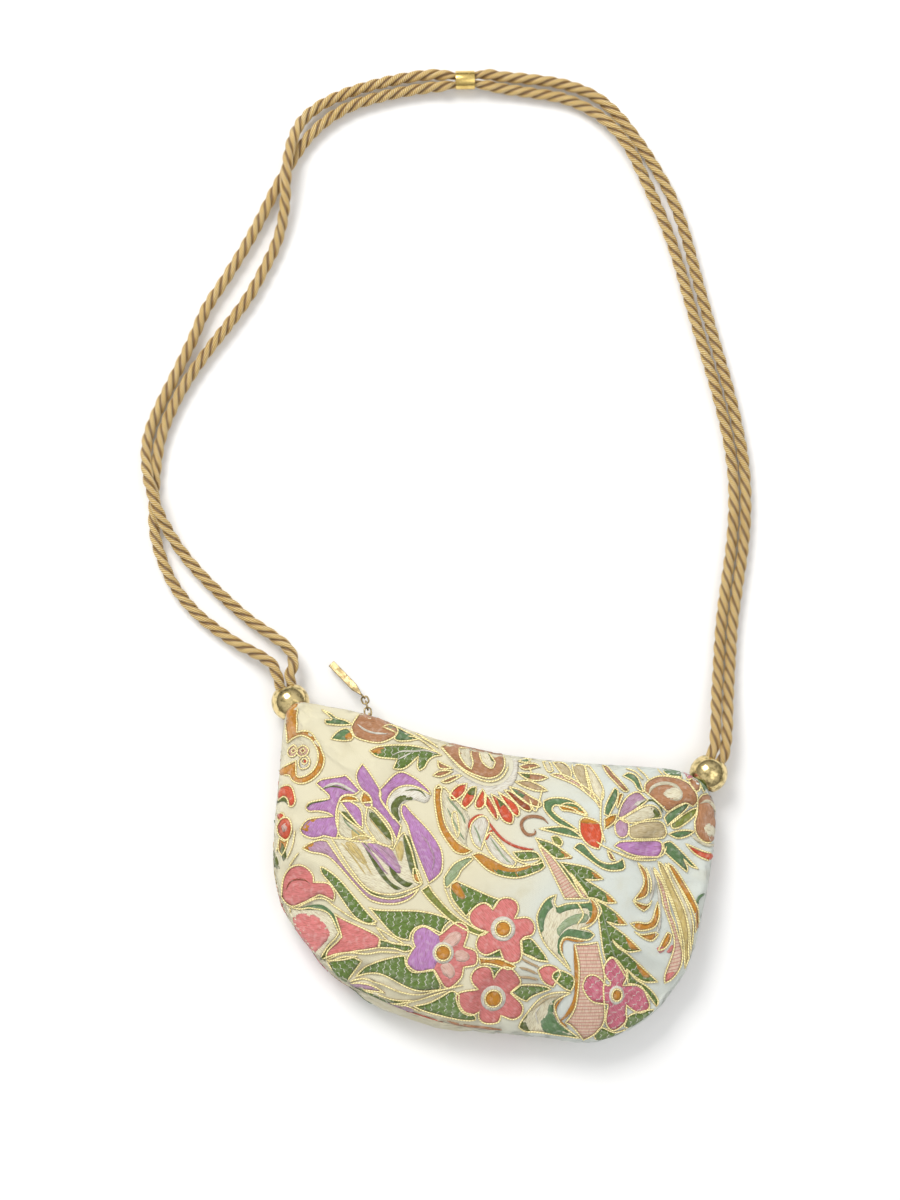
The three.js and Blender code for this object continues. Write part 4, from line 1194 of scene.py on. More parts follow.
@dataclass
class Strap:
    """The doubled cord strap: two three-ply ropes, each from ball to ball through the ferrule."""

    left_ball: Vector
    right_ball: Vector
    ferrule: Vector
    ferrule_angle: float = 11.1
    ferrule_length: float = 0.0089
    ferrule_radius: float = 0.0043
    ferrule_wall: float = 0.00035
    rope: float = 0.0055
    spacing: float = 0.00265
    spacing_in_ferrule: float = 0.0018
    flare: float = 1.1
    beside_ferrule: float = 0.005
    tail: float = 0.0056
    ply_radius: float = 0.0013
    ply_offset: float = 0.0014
    plies: int = 3
    pitch: float = 0.0205
    squeeze: float = 0.66
    squeeze_run: float = 0.007
    in_ball: float = 0.95
    ball_run: float = 0.008
    sway: float = 0.25
    sway_rate: float = 47.0
    ripple: float = 0.12
    ripple_rate: float = 131.0
    lumps: float = 0.03
    lump_rate: float = 900.0
    lump_shift: float = 2.1
    step: float = 0.0009
    path_every: int = 3
    sides: int = 16
    outer_length: float = 0.808
    inner_length: float = 0.789
    outer_turn: float = 0.4
    inner_turn: float = 1.7

    def build(self) -> None:
        ferrule = self.make_ferrule()
        silk = STRAP_SILK.material()
        outer = self.route(1, LEFT_OUTER_ROUTE, RIGHT_OUTER_ROUTE)
        inner = self.route(-1, LEFT_INNER_ROUTE, RIGHT_INNER_ROUTE)
        self.make_rope("outer", outer, self.outer_turn, silk)
        self.make_rope("inner", inner, self.inner_turn, silk)

    def from_ball(self, ball: Vector, angle: float, beside: int, far: float) -> Vector:
        """Give a rope's place so far from its ball's middle, beside 1 to the right of its direction."""
        return ball + heading(angle) * far + heading(angle - 90) * (self.spacing * beside)

    def in_ferrule(self, side: int, far: float, spacing: float) -> Vector:
        """Give a rope's place so far right of the ferrule's middle, side 1 for the outer rope."""
        along = heading(self.ferrule_angle) * far
        return self.ferrule + along + heading(self.ferrule_angle + 90) * (spacing * side)

    def route(self, side: int, left: str, right: str) -> list[Vector]:
        """Give a rope's whole route from the left ball to the right one.

        Args:
            side: 1 for the outer rope.
            left: its chosen points from the left ball to the ferrule.
            right: its chosen points from the right ball to the ferrule.

        Returns:
            Places a small step apart.
        """
        tails = (-self.tail, 0.0, self.tail, 2 * self.tail)
        start = [self.from_ball(self.left_ball, LEFT_ANGLE, -side, far) for far in tails]
        end = [self.from_ball(self.right_ball, RIGHT_ANGLE, side, far) for far in tails]
        reach = self.ferrule_length / 2 + self.ferrule_wall
        mouth = (reach, self.spacing_in_ferrule * self.flare)
        clear = (reach + self.beside_ferrule, self.spacing)
        held = [self.in_ferrule(side, -far, spacing) for far, spacing in (clear, mouth)]
        held.append(self.in_ferrule(side, 0.0, self.spacing_in_ferrule))
        held += [self.in_ferrule(side, far, spacing) for far, spacing in (mouth, clear)]
        there, back = read_points(left)[0], read_points(right)[0]
        return centripetal([*start, *there, *held, *reversed(back), *reversed(end)], self.step)

    def thickness(self, place: Vector) -> float:
        """Give a rope's share of its full thickness, less in the ferrule and in a ball.

        Args:
            place: a place on its route.

        Returns:
            The share.
        """
        from_ferrule = ((place - self.ferrule).length - self.ferrule_length / 2) / self.squeeze_run
        near_ball = min((place - ball).length for ball in (self.left_ball, self.right_ball))
        held = self.squeeze + (1 - self.squeeze) * smoothstep(from_ferrule)
        return held * (self.in_ball + (1 - self.in_ball) * smoothstep(near_ball / self.ball_run - 1))

    def make_rope(
        self,
        cords: str,
        line: list[Vector],
        turn: float,
        silk: bpy.types.Material,
    ) -> None:
        """Lay the plies of one rope round its route.

        Args:
            cords: which pair of cord solids it stands for.
            line: its route.
            turn: the first ply's angle at the start, in radians.
            silk: its finish.
        """
        far, frames = distances(line), carried_frames(line, UP)
        tubes = Tubes(self.sides)
        slope = 2 * math.pi * self.ply_offset / self.pitch
        for ply in range(self.plies):
            sections = []
            for at, run, (along, across, over) in zip(line, far, frames):
                lay = turn + ply * 2 * math.pi / self.plies - 2 * math.pi * run / self.pitch
                lay += self.sway * math.sin(run * self.sway_rate + turn)
                lay += self.ripple * math.sin(run * self.ripple_rate)
                out = across * math.cos(lay) + over * math.sin(lay)
                sideways = over * math.cos(lay) - across * math.sin(lay)
                flank = (along - sideways * slope).normalized().cross(out)
                size = self.thickness(at)
                lump = math.sin(run * self.lump_rate + ply * self.lump_shift)
                radius = self.ply_radius * size * (1 + self.lumps * lump)
                centre = at + out * (self.ply_offset * size)
                sections.append(tubes.section(centre, out * radius, flank * radius))
            tubes.add(sections, far)
        rope = tubes.piece(f"strap_rope_{cords}", "ply")
        hand_in(rope, silk, "cord", f"strap_cord_left_{cords}", f"strap_cord_right_{cords}")

    def make_ferrule(self) -> bpy.types.Object:
        """Turn the tube that holds the ropes together, with rolled ends."""
        tube = plain_shape(
            "cylinder",
            "strap_ferrule_tube",
            vertices=72,
            radius=self.ferrule_radius - self.ferrule_wall,
            depth=self.ferrule_length,
            end_fill_type="NOTHING",
            location=self.ferrule,
            rotation=(0.0, math.pi / 2, math.radians(self.ferrule_angle)),
        )
        apply_modifier(tube, "SOLIDIFY", thickness=self.ferrule_wall, offset=1.0)
        apply_modifier(tube, "BEVEL", width=self.ferrule_wall * 0.45, segments=3, limit_method="ANGLE")
        smooth(tube)
        hand_in(tube, FERRULE_GOLD.material(), "gold", "strap_ferrule")
        return tube


@dataclass
class CornerBalls:
    """The two polished balls at the ends of the zip, each drilled for its pair of cords."""

    left: Vector
    right: Vector
    radius: float = 0.0087
    bore: float = 0.0055
    rounding: float = 0.0005

    def build(self) -> None:
        """Make both balls."""
        gold = BRIGHT_GOLD.material()
        self.make("left", self.left, LEFT_ANGLE, gold)
        self.make("right", self.right, RIGHT_ANGLE, gold)

    def make(self, side: str, centre: Vector, angle: float, gold: bpy.types.Material) -> None:
        """Turn one ball and drill it.

        Args:
            side: left or right.
            centre: its middle.
            angle: the hole's direction in degrees.
            gold: its finish.
        """
        ball = plain_shape(
            "uv_sphere",
            f"{side}_ball_turned",
            segments=72,
            ring_count=48,
            radius=self.radius,
            location=centre,
        )
        drill = plain_shape(
            "cylinder",
            "drill",
            vertices=64,
            radius=self.bore,
            depth=self.radius * 3,
            location=centre,
            rotation=(0.0, math.pi / 2, math.radians(angle)),
        )
        apply_modifier(ball, "BOOLEAN", operation="DIFFERENCE", object=drill, solver="EXACT")
        bpy.data.objects.remove(drill)
        apply_modifier(ball, "BEVEL", width=self.rounding, segments=3, limit_method="ANGLE")
        smooth(ball, 50.0)
        hand_in(ball, gold, "gold", f"{side}_ball")


@dataclass(frozen=True)
class Link:
    """One link of the pull's chain: its solid, and its turn, slope down and roll in degrees."""

    node: str
    turn: float
    fall: float
    tilt: float


LINKS = (
    Link("pull_link_1", 105.0, 6.0, 0.0),
    Link("pull_link_2", 113.0, 26.0, 90.0),
    Link("pull_link_3", 120.0, 34.0, 0.0),
)


def sloping(turn: float, fall: float) -> Vector:
    """Give the direction that has a turn in plan and a slope down, both in degrees."""
    slope = math.radians(fall)
    return heading(turn) * math.cos(slope) - UP * math.sin(slope)


@dataclass
class ZipPull:
    """The slider, its three oval links and the bar that hangs from them with its tip on the floor."""

    wire: float = 0.0008
    half_length: float = 0.00215
    half_width: float = 0.0015
    slip: float = 0.00055
    bar_length: float = 0.016
    bar_width: float = 0.0033
    bar_thickness: float = 0.002
    bar_rounding: float = 0.0003
    eye_radius: float = 0.00125
    neck: float = 0.0046
    turn: float = 143.0
    floor_gap: float = 0.0001
    slider_rounding: float = 0.00018

    def build(self) -> None:
        """Make the links, the bar and the slider."""
        metal = OLD_GOLD.material()
        for link in LINKS:
            self.make_link(link, metal)
        self.make_bar(metal)
        self.make_slider(metal)

    def placing(self, at: Vector, turn: float, fall: float, tilt: float) -> Matrix:
        """Give the transform that lays a piece made along X, its turn, fall and roll in degrees."""
        angles = Euler((math.radians(tilt), math.radians(fall), math.radians(turn)), "XYZ")
        return Matrix.Translation(at) @ angles.to_matrix().to_4x4()

    def make_link(self, link: Link, metal: bpy.types.Material) -> None:
        """Bend one oval link.

        Args:
            link: where it is and how it lies.
            metal: its finish.
        """
        ring = plain_shape(
            "torus",
            link.node.replace("pull_link", "chain_link"),
            major_radius=self.half_width,
            minor_radius=self.wire / 2,
            major_segments=40,
            minor_segments=14,
        )
        straight = self.half_length - self.half_width
        for vertex in ring.data.vertices:
            vertex.co.x += math.copysign(straight, vertex.co.x)
        ring.matrix_world = self.placing(middle(link.node), link.turn, link.fall, link.tilt)
        settle(ring)
        smooth(ring, 60.0)
        hand_in(ring, metal, "old_gold", link.node)

    def make_bar(self, metal: bpy.types.Material) -> None:
        """Make the bar, narrowed to a neck and joined to its eye.

        Args:
            metal: its finish.
        """
        last = LINKS[-1]
        joint = middle(last.node) + sloping(last.turn, last.fall) * (self.half_length - self.slip)
        reach = 2 * self.eye_radius + self.neck + self.wire / 2 - self.slip + self.bar_length
        drop = joint.z - self.bar_thickness / 2 - self.floor_gap
        fall = math.degrees(math.asin(drop / reach))
        own_way = sloping(self.turn, fall)
        eye_middle = joint + own_way * (self.eye_radius - self.slip)
        neck_end = self.eye_radius + self.neck + self.wire / 2
        bar = plain_shape("cube", "pull_bar", size=1.0)
        bar.scale = (self.bar_length, self.bar_width, self.bar_thickness)
        bar.location.x = neck_end + self.bar_length / 2
        settle(bar)
        bpy.ops.object.mode_set(mode="EDIT")
        bpy.ops.mesh.select_mode(type="FACE")
        mesh = bmesh.from_edit_mesh(bar.data)
        for face in mesh.faces:
            face.select_set(face.normal.x < -0.9)
        bmesh.update_edit_mesh(bar.data)
        move = {"value": (self.eye_radius - neck_end, 0, 0), "orient_type": "GLOBAL"}
        bpy.ops.mesh.extrude_region_move(TRANSFORM_OT_translate=move)
        bpy.ops.transform.resize(value=(1.0, self.wire / self.bar_width, self.wire / self.bar_thickness))
        bpy.ops.object.mode_set(mode="OBJECT")
        apply_modifier(bar, "BEVEL", width=self.bar_rounding, segments=4, limit_method="ANGLE")
        eye = plain_shape(
            "torus",
            "pull_eye",
            major_radius=self.eye_radius,
            minor_radius=self.wire / 2,
            major_segments=36,
            minor_segments=12,
            rotation=(math.pi / 2, 0.0, 0.0),
        )
        apply_modifier(bar, "BOOLEAN", operation="UNION", object=eye, solver="EXACT")
        bpy.data.objects.remove(eye)
        bar.matrix_world = self.placing(eye_middle, self.turn, fall, 0.0)
        settle(bar)
        smooth(bar, 40.0)
        hand_in(bar, metal, "old_gold", "zip_pull")

    def make_slider(self, metal: bpy.types.Material) -> None:
        """Round the slider's edges on a copy of its solid.

        Args:
            metal: its finish.
        """
        slider = skin_of("zip_slider", "slider_cast")
        apply_modifier(slider, "BEVEL", width=self.slider_rounding, segments=3, limit_method="ANGLE")
        smooth(slider, 40.0)
        hand_in(slider, metal, "old_gold", "zip_slider")


def skin_of(node: str, name: str) -> bpy.types.Object:
    """Copy a solid's mesh into a new piece with its loose triangles merged.

    Args:
        node: the solid's name.
        name: the new piece's name.

    Returns:
        The new piece.
    """
    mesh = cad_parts[node].data.copy()
    mesh.name = name
    piece = add_object(name, mesh)
    take(piece)
    bpy.ops.object.mode_set(mode="EDIT")
    bpy.ops.mesh.select_all(action="SELECT")
    bpy.ops.mesh.remove_doubles(threshold=WELD)
    bpy.ops.mesh.dissolve_limited(angle_limit=FLAT_EDGE)
    bpy.ops.object.mode_set(mode="OBJECT")
    return piece


@dataclass
class ZipTeeth:
    """The closed coil between the two tapes, and the tapes' finish."""

    wire: float = 0.00035
    half_height: float = 0.0021
    half_depth: float = 0.00075
    overlap: float = 0.0005
    pitch: float = 0.0012
    steps: int = 9
    sides: int = 5
    corners: int = 4

    def build(self) -> None:
        """Wind the two halves of the coil and weave the tapes."""
        line = self.centre_line()
        tubes = Tubes(self.sides)
        for side in (1, -1):
            self.wind(line, side, tubes)
        hand_in(tubes.piece("zip_coil", "wire"), COIL_GOLD.material(), "teeth", "zip_teeth")
        tape = TAPE.material()
        for node in ("zip_tape_front", "zip_tape_back"):
            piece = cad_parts[node]
            piece.data.materials.clear()
            piece.data.materials.append(tape)

    def centre_line(self) -> list[Vector]:
        """Find the middle of the teeth's solid from its left end to its right end.

        Returns:
            Places along it, one for each step of a turn.
        """
        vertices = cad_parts["zip_teeth"].data.vertices
        corners = {tuple(round(c, 5) for c in v.co): v.co.copy() for v in vertices}
        ordered = sorted(corners.values(), key=lambda p: p.x)
        starts = range(0, len(ordered) - self.corners + 1, self.corners)
        middles = [sum(ordered[i : i + self.corners], Vector()) / self.corners for i in starts]
        return centripetal(middles, self.pitch / self.steps)

    def wind(self, line: list[Vector], side: int, tubes: Tubes) -> None:
        """Wind one half of the coil along the line.

        Args:
            line: places along the middle, one for each step of a turn.
            side: 1 for the front's half, -1 for the back's.
            tubes: where the wire goes.
        """
        reach = (self.half_height + self.overlap) / 2
        offset = side * (self.half_height - self.overlap) / 2
        sections = []
        for i, (at, (along, up, out)) in enumerate(zip(line, carried_frames(line, UP))):
            a = 2 * math.pi * i / self.steps * side + (math.pi if side < 0 else 0.0)
            spoke = up * math.cos(a) * reach + out * math.sin(a) * self.half_depth
            centre = at + up * offset + spoke
            sections.append(tubes.section(centre, spoke.normalized() * self.wire, along * self.wire))
        tubes.add(sections, distances(line))


@dataclass
class ClothPanel:
    """One of the two stuffed cloths: a fine skin that is blown up a little and given its wall."""

    node: str
    name: str
    side: int
    rings: int = 9
    kept_rings: int = 7
    wall: float = 0.0016
    hem: float = 0.0024
    hem_round: float = 0.0007
    levels: int = 2
    pressure: float = 4.0
    growth: float = 0.035
    frames: int = 20
    cap: float = 0.0022
    near_hold: float = 0.6
    lying: float = 0.0004
    pole_edges: int = 40
    level_reach: float = 0.045

    def build(self) -> bpy.types.Object:
        """Make the panel.

        Returns:
            The panel's skin, still without its wall, for the brocade to be laid on.
        """
        rows, pole = self.read_rings()
        skin = self.net(rows, pole)
        apply_modifier(skin, "SUBSURF", levels=self.levels, render_levels=self.levels)
        self.flatten(skin)
        self.inflate(skin)
        return skin

    def read_rings(self) -> tuple[list[list[Vector]], Vector]:
        """Read the solid's outside as rings of places from the rim to its middle.

        Returns:
            The rings, each in the same order, and the place in the middle.
        """
        net = bmesh.new()
        net.from_mesh(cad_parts[self.node].data)
        bmesh.ops.remove_doubles(net, verts=net.verts, dist=WELD)
        poles = [v for v in net.verts if len(v.link_edges) > self.pole_edges]
        pole = max(poles, key=lambda v: v.co.z * self.side)
        level = {pole: 0}
        reached = [pole]
        for vertex in reached:
            for edge in vertex.link_edges:
                other = edge.other_vert(vertex)
                if other not in level and level[vertex] < self.rings:
                    level[other] = level[vertex] + 1
                    reached.append(other)
        rows = []
        for depth in range(self.rings, 0, -1):
            ring = [v.co.copy() for v in reached if level[v] == depth]
            rows.append(sorted(ring, key=lambda p: math.atan2(p.y - pole.co.y, p.x - pole.co.x)))
        centre = pole.co.copy()
        net.free()
        return rows, centre

    def net(self, rows: list[list[Vector]], pole: Vector) -> bpy.types.Object:
        """Build a net of four-sided faces: rings at the edge and a square patch in the middle.

        Args:
            rows: the rings from the rim inwards.
            pole: the middle.

        Returns:
            The new skin.
        """
        count = len(rows[0])
        corners = [*(place for row in rows for place in row), pole]
        last = (len(rows) - 1) * count
        fans = [(last + i, last + (i + 1) % count, len(corners) - 1) for i in range(count)]
        for start in range(0, last, count):
            for i in range(count):
                here, after = start + i, start + (i + 1) % count
                fans.append((here, after, after + count, here + count))
        ground = BVHTree.FromPolygons(corners, fans)
        points = [p for row in rows[: self.kept_rings] for p in row]
        faces = [face for face in fans if max(face) < len(points)]
        inner = list(range((self.kept_rings - 1) * count, self.kept_rings * count))
        quarter = count // 4
        grid = [[0] * (quarter + 1) for _ in range(quarter + 1)]
        for k in range(quarter):
            grid[0][k] = inner[k]
            grid[k][quarter] = inner[quarter + k]
            grid[quarter][quarter - k] = inner[2 * quarter + k]
            grid[quarter - k][0] = inner[3 * quarter + k]
        ends = [points[grid[i][j]] for i in (0, quarter) for j in (0, quarter)]
        for a in range(1, quarter):
            for b in range(1, quarter):
                u, v = a / quarter, b / quarter
                beside = [points[grid[i][j]] for i, j in ((0, b), (quarter, b), (a, 0), (a, quarter))]
                place = beside[0].lerp(beside[1], u) + beside[2].lerp(beside[3], v)
                place -= ends[0].lerp(ends[1], v).lerp(ends[2].lerp(ends[3], v), u)
                sky = Vector((place.x, place.y, self.side * SKY))
                hit = ground.ray_cast(sky, UP * -self.side)[0]
                grid[a][b] = len(points)
                points.append(hit or place)
        for a in range(quarter):
            for b in range(quarter):
                faces.append((grid[a][b], grid[a][b + 1], grid[a + 1][b + 1], grid[a + 1][b]))
        if self.side < 0:
            faces = [tuple(reversed(face)) for face in faces]
        return mesh_piece(self.name, points, faces)

    def flatten(self, skin: bpy.types.Object) -> None:
        """Unroll the skin on to a flat cloth, as its UV map in metres, level with the plan.

        Args:
            skin: the panel's skin.
        """
        take(skin)
        skin.data.uv_layers.new(name="cloth")
        bpy.ops.object.mode_set(mode="EDIT")
        bpy.ops.mesh.select_all(action="SELECT")
        bpy.ops.uv.unwrap(method="ANGLE_BASED", margin=0.0)
        bpy.ops.object.mode_set(mode="OBJECT")
        layer = skin.data.uv_layers["cloth"].data
        pairs = []
        for polygon in skin.data.polygons:
            for loop, vertex in zip(polygon.loop_indices, polygon.vertices):
                place = skin.data.vertices[vertex].co
                if place.xy.length < self.level_reach:
                    pairs.append((complex(*layer[loop].uv), complex(place.x, place.y)))
        mean_flat = sum(p[0] for p in pairs) / len(pairs)
        mean_plan = sum(p[1] for p in pairs) / len(pairs)
        top = sum((p[1] - mean_plan) * (p[0] - mean_flat).conjugate() for p in pairs)
        factor = top / sum(abs(p[0] - mean_flat) ** 2 for p in pairs)
        flipped = sum((p[1] - mean_plan) * (p[0] - mean_flat) for p in pairs)
        mirrored = abs(flipped) > abs(top)
        if mirrored:
            factor = flipped / sum(abs(p[0] - mean_flat) ** 2 for p in pairs)
        for corner in layer:
            flat = complex(*corner.uv) - mean_flat
            flat = flat.conjugate() if mirrored else flat
            placed = mean_plan + factor * flat
            corner.uv = (placed.real, placed.imag)

    def inflate(self, skin: bpy.types.Object) -> None:
        """Blow the skin up with cloth pressure while its rim is held, and keep the move small.

        Args:
            skin: the panel's skin.
        """
        before = [v.co.copy() for v in skin.data.vertices]
        held = skin.vertex_groups.new(name="rim")
        net = bmesh.new()
        net.from_mesh(skin.data)
        rim = [v.index for v in net.verts if v.is_boundary]
        beside = {e.other_vert(v) for v in net.verts if v.is_boundary for e in v.link_edges}
        near = [v.index for v in beside if not v.is_boundary]
        net.free()
        held.add(rim, 1.0, "REPLACE")
        held.add(near, self.near_hold, "REPLACE")
        take(skin)
        cloth = skin.modifiers.new("cloth", "CLOTH")
        chosen = {
            "quality": 6,
            "mass": 0.2,
            "tension_stiffness": 20,
            "compression_stiffness": 20,
            "shear_stiffness": 8,
            "bending_stiffness": 0.6,
            "shrink_min": -self.growth,
            "use_pressure": True,
            "uniform_pressure_force": self.pressure,
            "vertex_group_mass": "rim",
        }
        for setting, value in chosen.items():
            setattr(cloth.settings, setting, value)
        cloth.settings.effector_weights.gravity = 0.0
        cloth.point_cache.frame_start = 1
        cloth.point_cache.frame_end = self.frames
        scene = bpy.context.scene
        for number in range(1, self.frames + 1):
            scene.frame_set(number)
        shape = skin.evaluated_get(bpy.context.evaluated_depsgraph_get()).data
        moved = [v.co.copy() for v in shape.vertices]
        skin.modifiers.remove(cloth)
        scene.frame_set(1)
        skin.vertex_groups.remove(held)
        for vertex, start, end in zip(skin.data.vertices, before, moved):
            way = end - start
            if way.length > self.cap:
                way *= self.cap / way.length
            place = start + way
            if self.side < 0 and start.z < self.lying:
                place.z = max(place.z, 0.0)
            vertex.co = place
        skin.data.update()

    def finish(self, skin: bpy.types.Object, ground: bpy.types.Material) -> None:
        """Args:
            skin: the panel's skin.
            ground: its finish.
        """
        net = bmesh.new()
        net.from_mesh(skin.data)
        for reach in (self.hem_round, self.hem - self.hem_round):
            border = [e for e in net.edges if e.is_boundary]
            outward = {}
            for edge in border:
                away = (edge.verts[1].co - edge.verts[0].co).cross(UP).normalized()
                if away.dot(edge.verts[0].co) < 0:
                    away.negate()
                for vertex in edge.verts:
                    outward[vertex] = outward.get(vertex, Vector()) + away
            inwards = {tuple(v.co): -away.normalized() * reach for v, away in outward.items()}
            made = bmesh.ops.extrude_edge_only(net, edges=border)
            for vertex in made["geom"]:
                if isinstance(vertex, bmesh.types.BMVert):
                    vertex.co += inwards[tuple(vertex.co)]
        net.to_mesh(skin.data)
        net.free()
        apply_modifier(skin, "SOLIDIFY", thickness=self.wall, offset=-1.0, use_even_offset=False)
        take(skin)
        bpy.ops.object.shade_smooth()
        hand_in(skin, ground, "brocade", self.node)


def read_points(text: str) -> tuple[list[Vector], list[bool]]:
    """Read an outline's points and which of them are sharp.

    Args:
        text: the points, apart by spaces.

    Returns:
        The points and a mark for each sharp one.
    """
    words = text.split()
    sharp = [word.endswith("!") for word in words]
    return [Vector(tuple(float(n) for n in word.rstrip("!").split(","))) for word in words], sharp


def from_photo(pixel: Vector) -> Vector:
    """Turn a photo pixel into a place in plan."""
    away = Vector((pixel.x - PHOTO_ORIGIN[0], PHOTO_ORIGIN[1] - pixel.y)) * PIXEL
    return Matrix.Rotation(PHOTO_TURN, 2) @ away


def drawn(points: list[Vector], sharp: list[bool], closed: bool, step: float) -> list[Vector]:
    """Draw a smooth line through points, broken at the sharp ones.

    Args:
        points: the points.
        sharp: which of them are corners.
        closed: whether the line comes back to its start.
        step: how far apart its places are.

    Returns:
        Places along the line.
    """
    count = len(points)
    made = []
    for i in range(count if closed else count - 1):
        p1, p2 = points[i], points[(i + 1) % count]
        start_corner = sharp[i] or (not closed and i == 0)
        end_corner = sharp[(i + 1) % count] or (not closed and i == count - 2)
        m1 = p2 - p1 if start_corner else (p2 - points[i - 1]) / 2
        m2 = p2 - p1 if end_corner else (points[(i + 2) % count] - p1) / 2
        pieces = max(1, round((p2 - p1).length / step))
        for k in range(pieces):
            t = k / pieces
            place = p1 * (2 * t**3 - 3 * t**2 + 1) + m1 * (t**3 - 2 * t**2 + t)
            made.append(place + p2 * (3 * t**2 - 2 * t**3) + m2 * (t**3 - t**2))
    if not closed:
        made.append(points[-1].copy())
    return made


class Cloth:
    """A panel's finished skin, to find places on it from the plan or from the unrolled cloth."""

    def __init__(self, skin: bpy.types.Object, side: int) -> None:
        """Read the skin.

        Args:
            skin: the panel's skin with its unrolled UV map.
            side: 1 for the front, seen from above, and -1 for the back.
        """
        mesh = skin.data
        mesh.calc_loop_triangles()
        self.side = side
        self.places = [v.co.copy() for v in mesh.vertices]
        self.normals = [v.normal.copy() for v in mesh.vertices]
        self.flat = [Vector((0.0, 0.0, 0.0)) for _ in mesh.vertices]
        layer = mesh.uv_layers["cloth"].data
        for loop in mesh.loops:
            self.flat[loop.vertex_index] = Vector((*layer[loop.index].uv, 0.0))
        self.corners = [tuple(t.vertices) for t in mesh.loop_triangles]
        self.solid = BVHTree.FromPolygons(self.places, self.corners)
        self.sheet = BVHTree.FromPolygons(self.flat, self.corners)

    def met(self, plan: Vector) -> tuple:
        """Give what a ray from outside meets on the cloth at a place in plan."""
        return self.solid.ray_cast(Vector((plan.x, plan.y, self.side * SKY)), UP * -self.side)

    def covers(self, plan: Vector) -> bool:
        """Tell whether a place in plan is over the cloth."""
        return self.met(plan)[0] is not None

    def unrolled(self, plan: Vector) -> Vector:
        """Carry a place in plan over to the unrolled cloth.

        Args:
            plan: the place in plan.

        Returns:
            The place on the unrolled cloth.
        """
        hit, _, number, _ = self.met(plan)
        if hit is None:
            hit, _, number, _ = self.solid.find_nearest(Vector((plan.x, plan.y, SEAM_HEIGHT)))
        a, b, c = self.corners[number]
        spots = (self.places[a], self.places[b], self.places[c], self.flat[a], self.flat[b], self.flat[c])
        return barycentric_transform(hit, *spots)

    def lifted(self, flat: Vector, height: float) -> tuple[Vector, Vector]:
        """Give the place and normal over a place of the unrolled cloth.

        Args:
            flat: the place on the unrolled cloth.
            height: how far above the cloth's surface.

        Returns:
            The place and the cloth's normal there.
        """
        start = Vector((flat.x, flat.y, 1.0))
        hit, _, number, _ = self.sheet.ray_cast(start, -UP)
        if hit is None:
            hit, _, number, _ = self.sheet.find_nearest(Vector((flat.x, flat.y, 0.0)))
        a, b, c = self.corners[number]
        flats = (self.flat[a], self.flat[b], self.flat[c])
        place = barycentric_transform(hit, *flats, self.places[a], self.places[b], self.places[c])
        normal = barycentric_transform(hit, *flats, self.normals[a], self.normals[b], self.normals[c])
        normal.normalize()
        return place + normal * height, normal


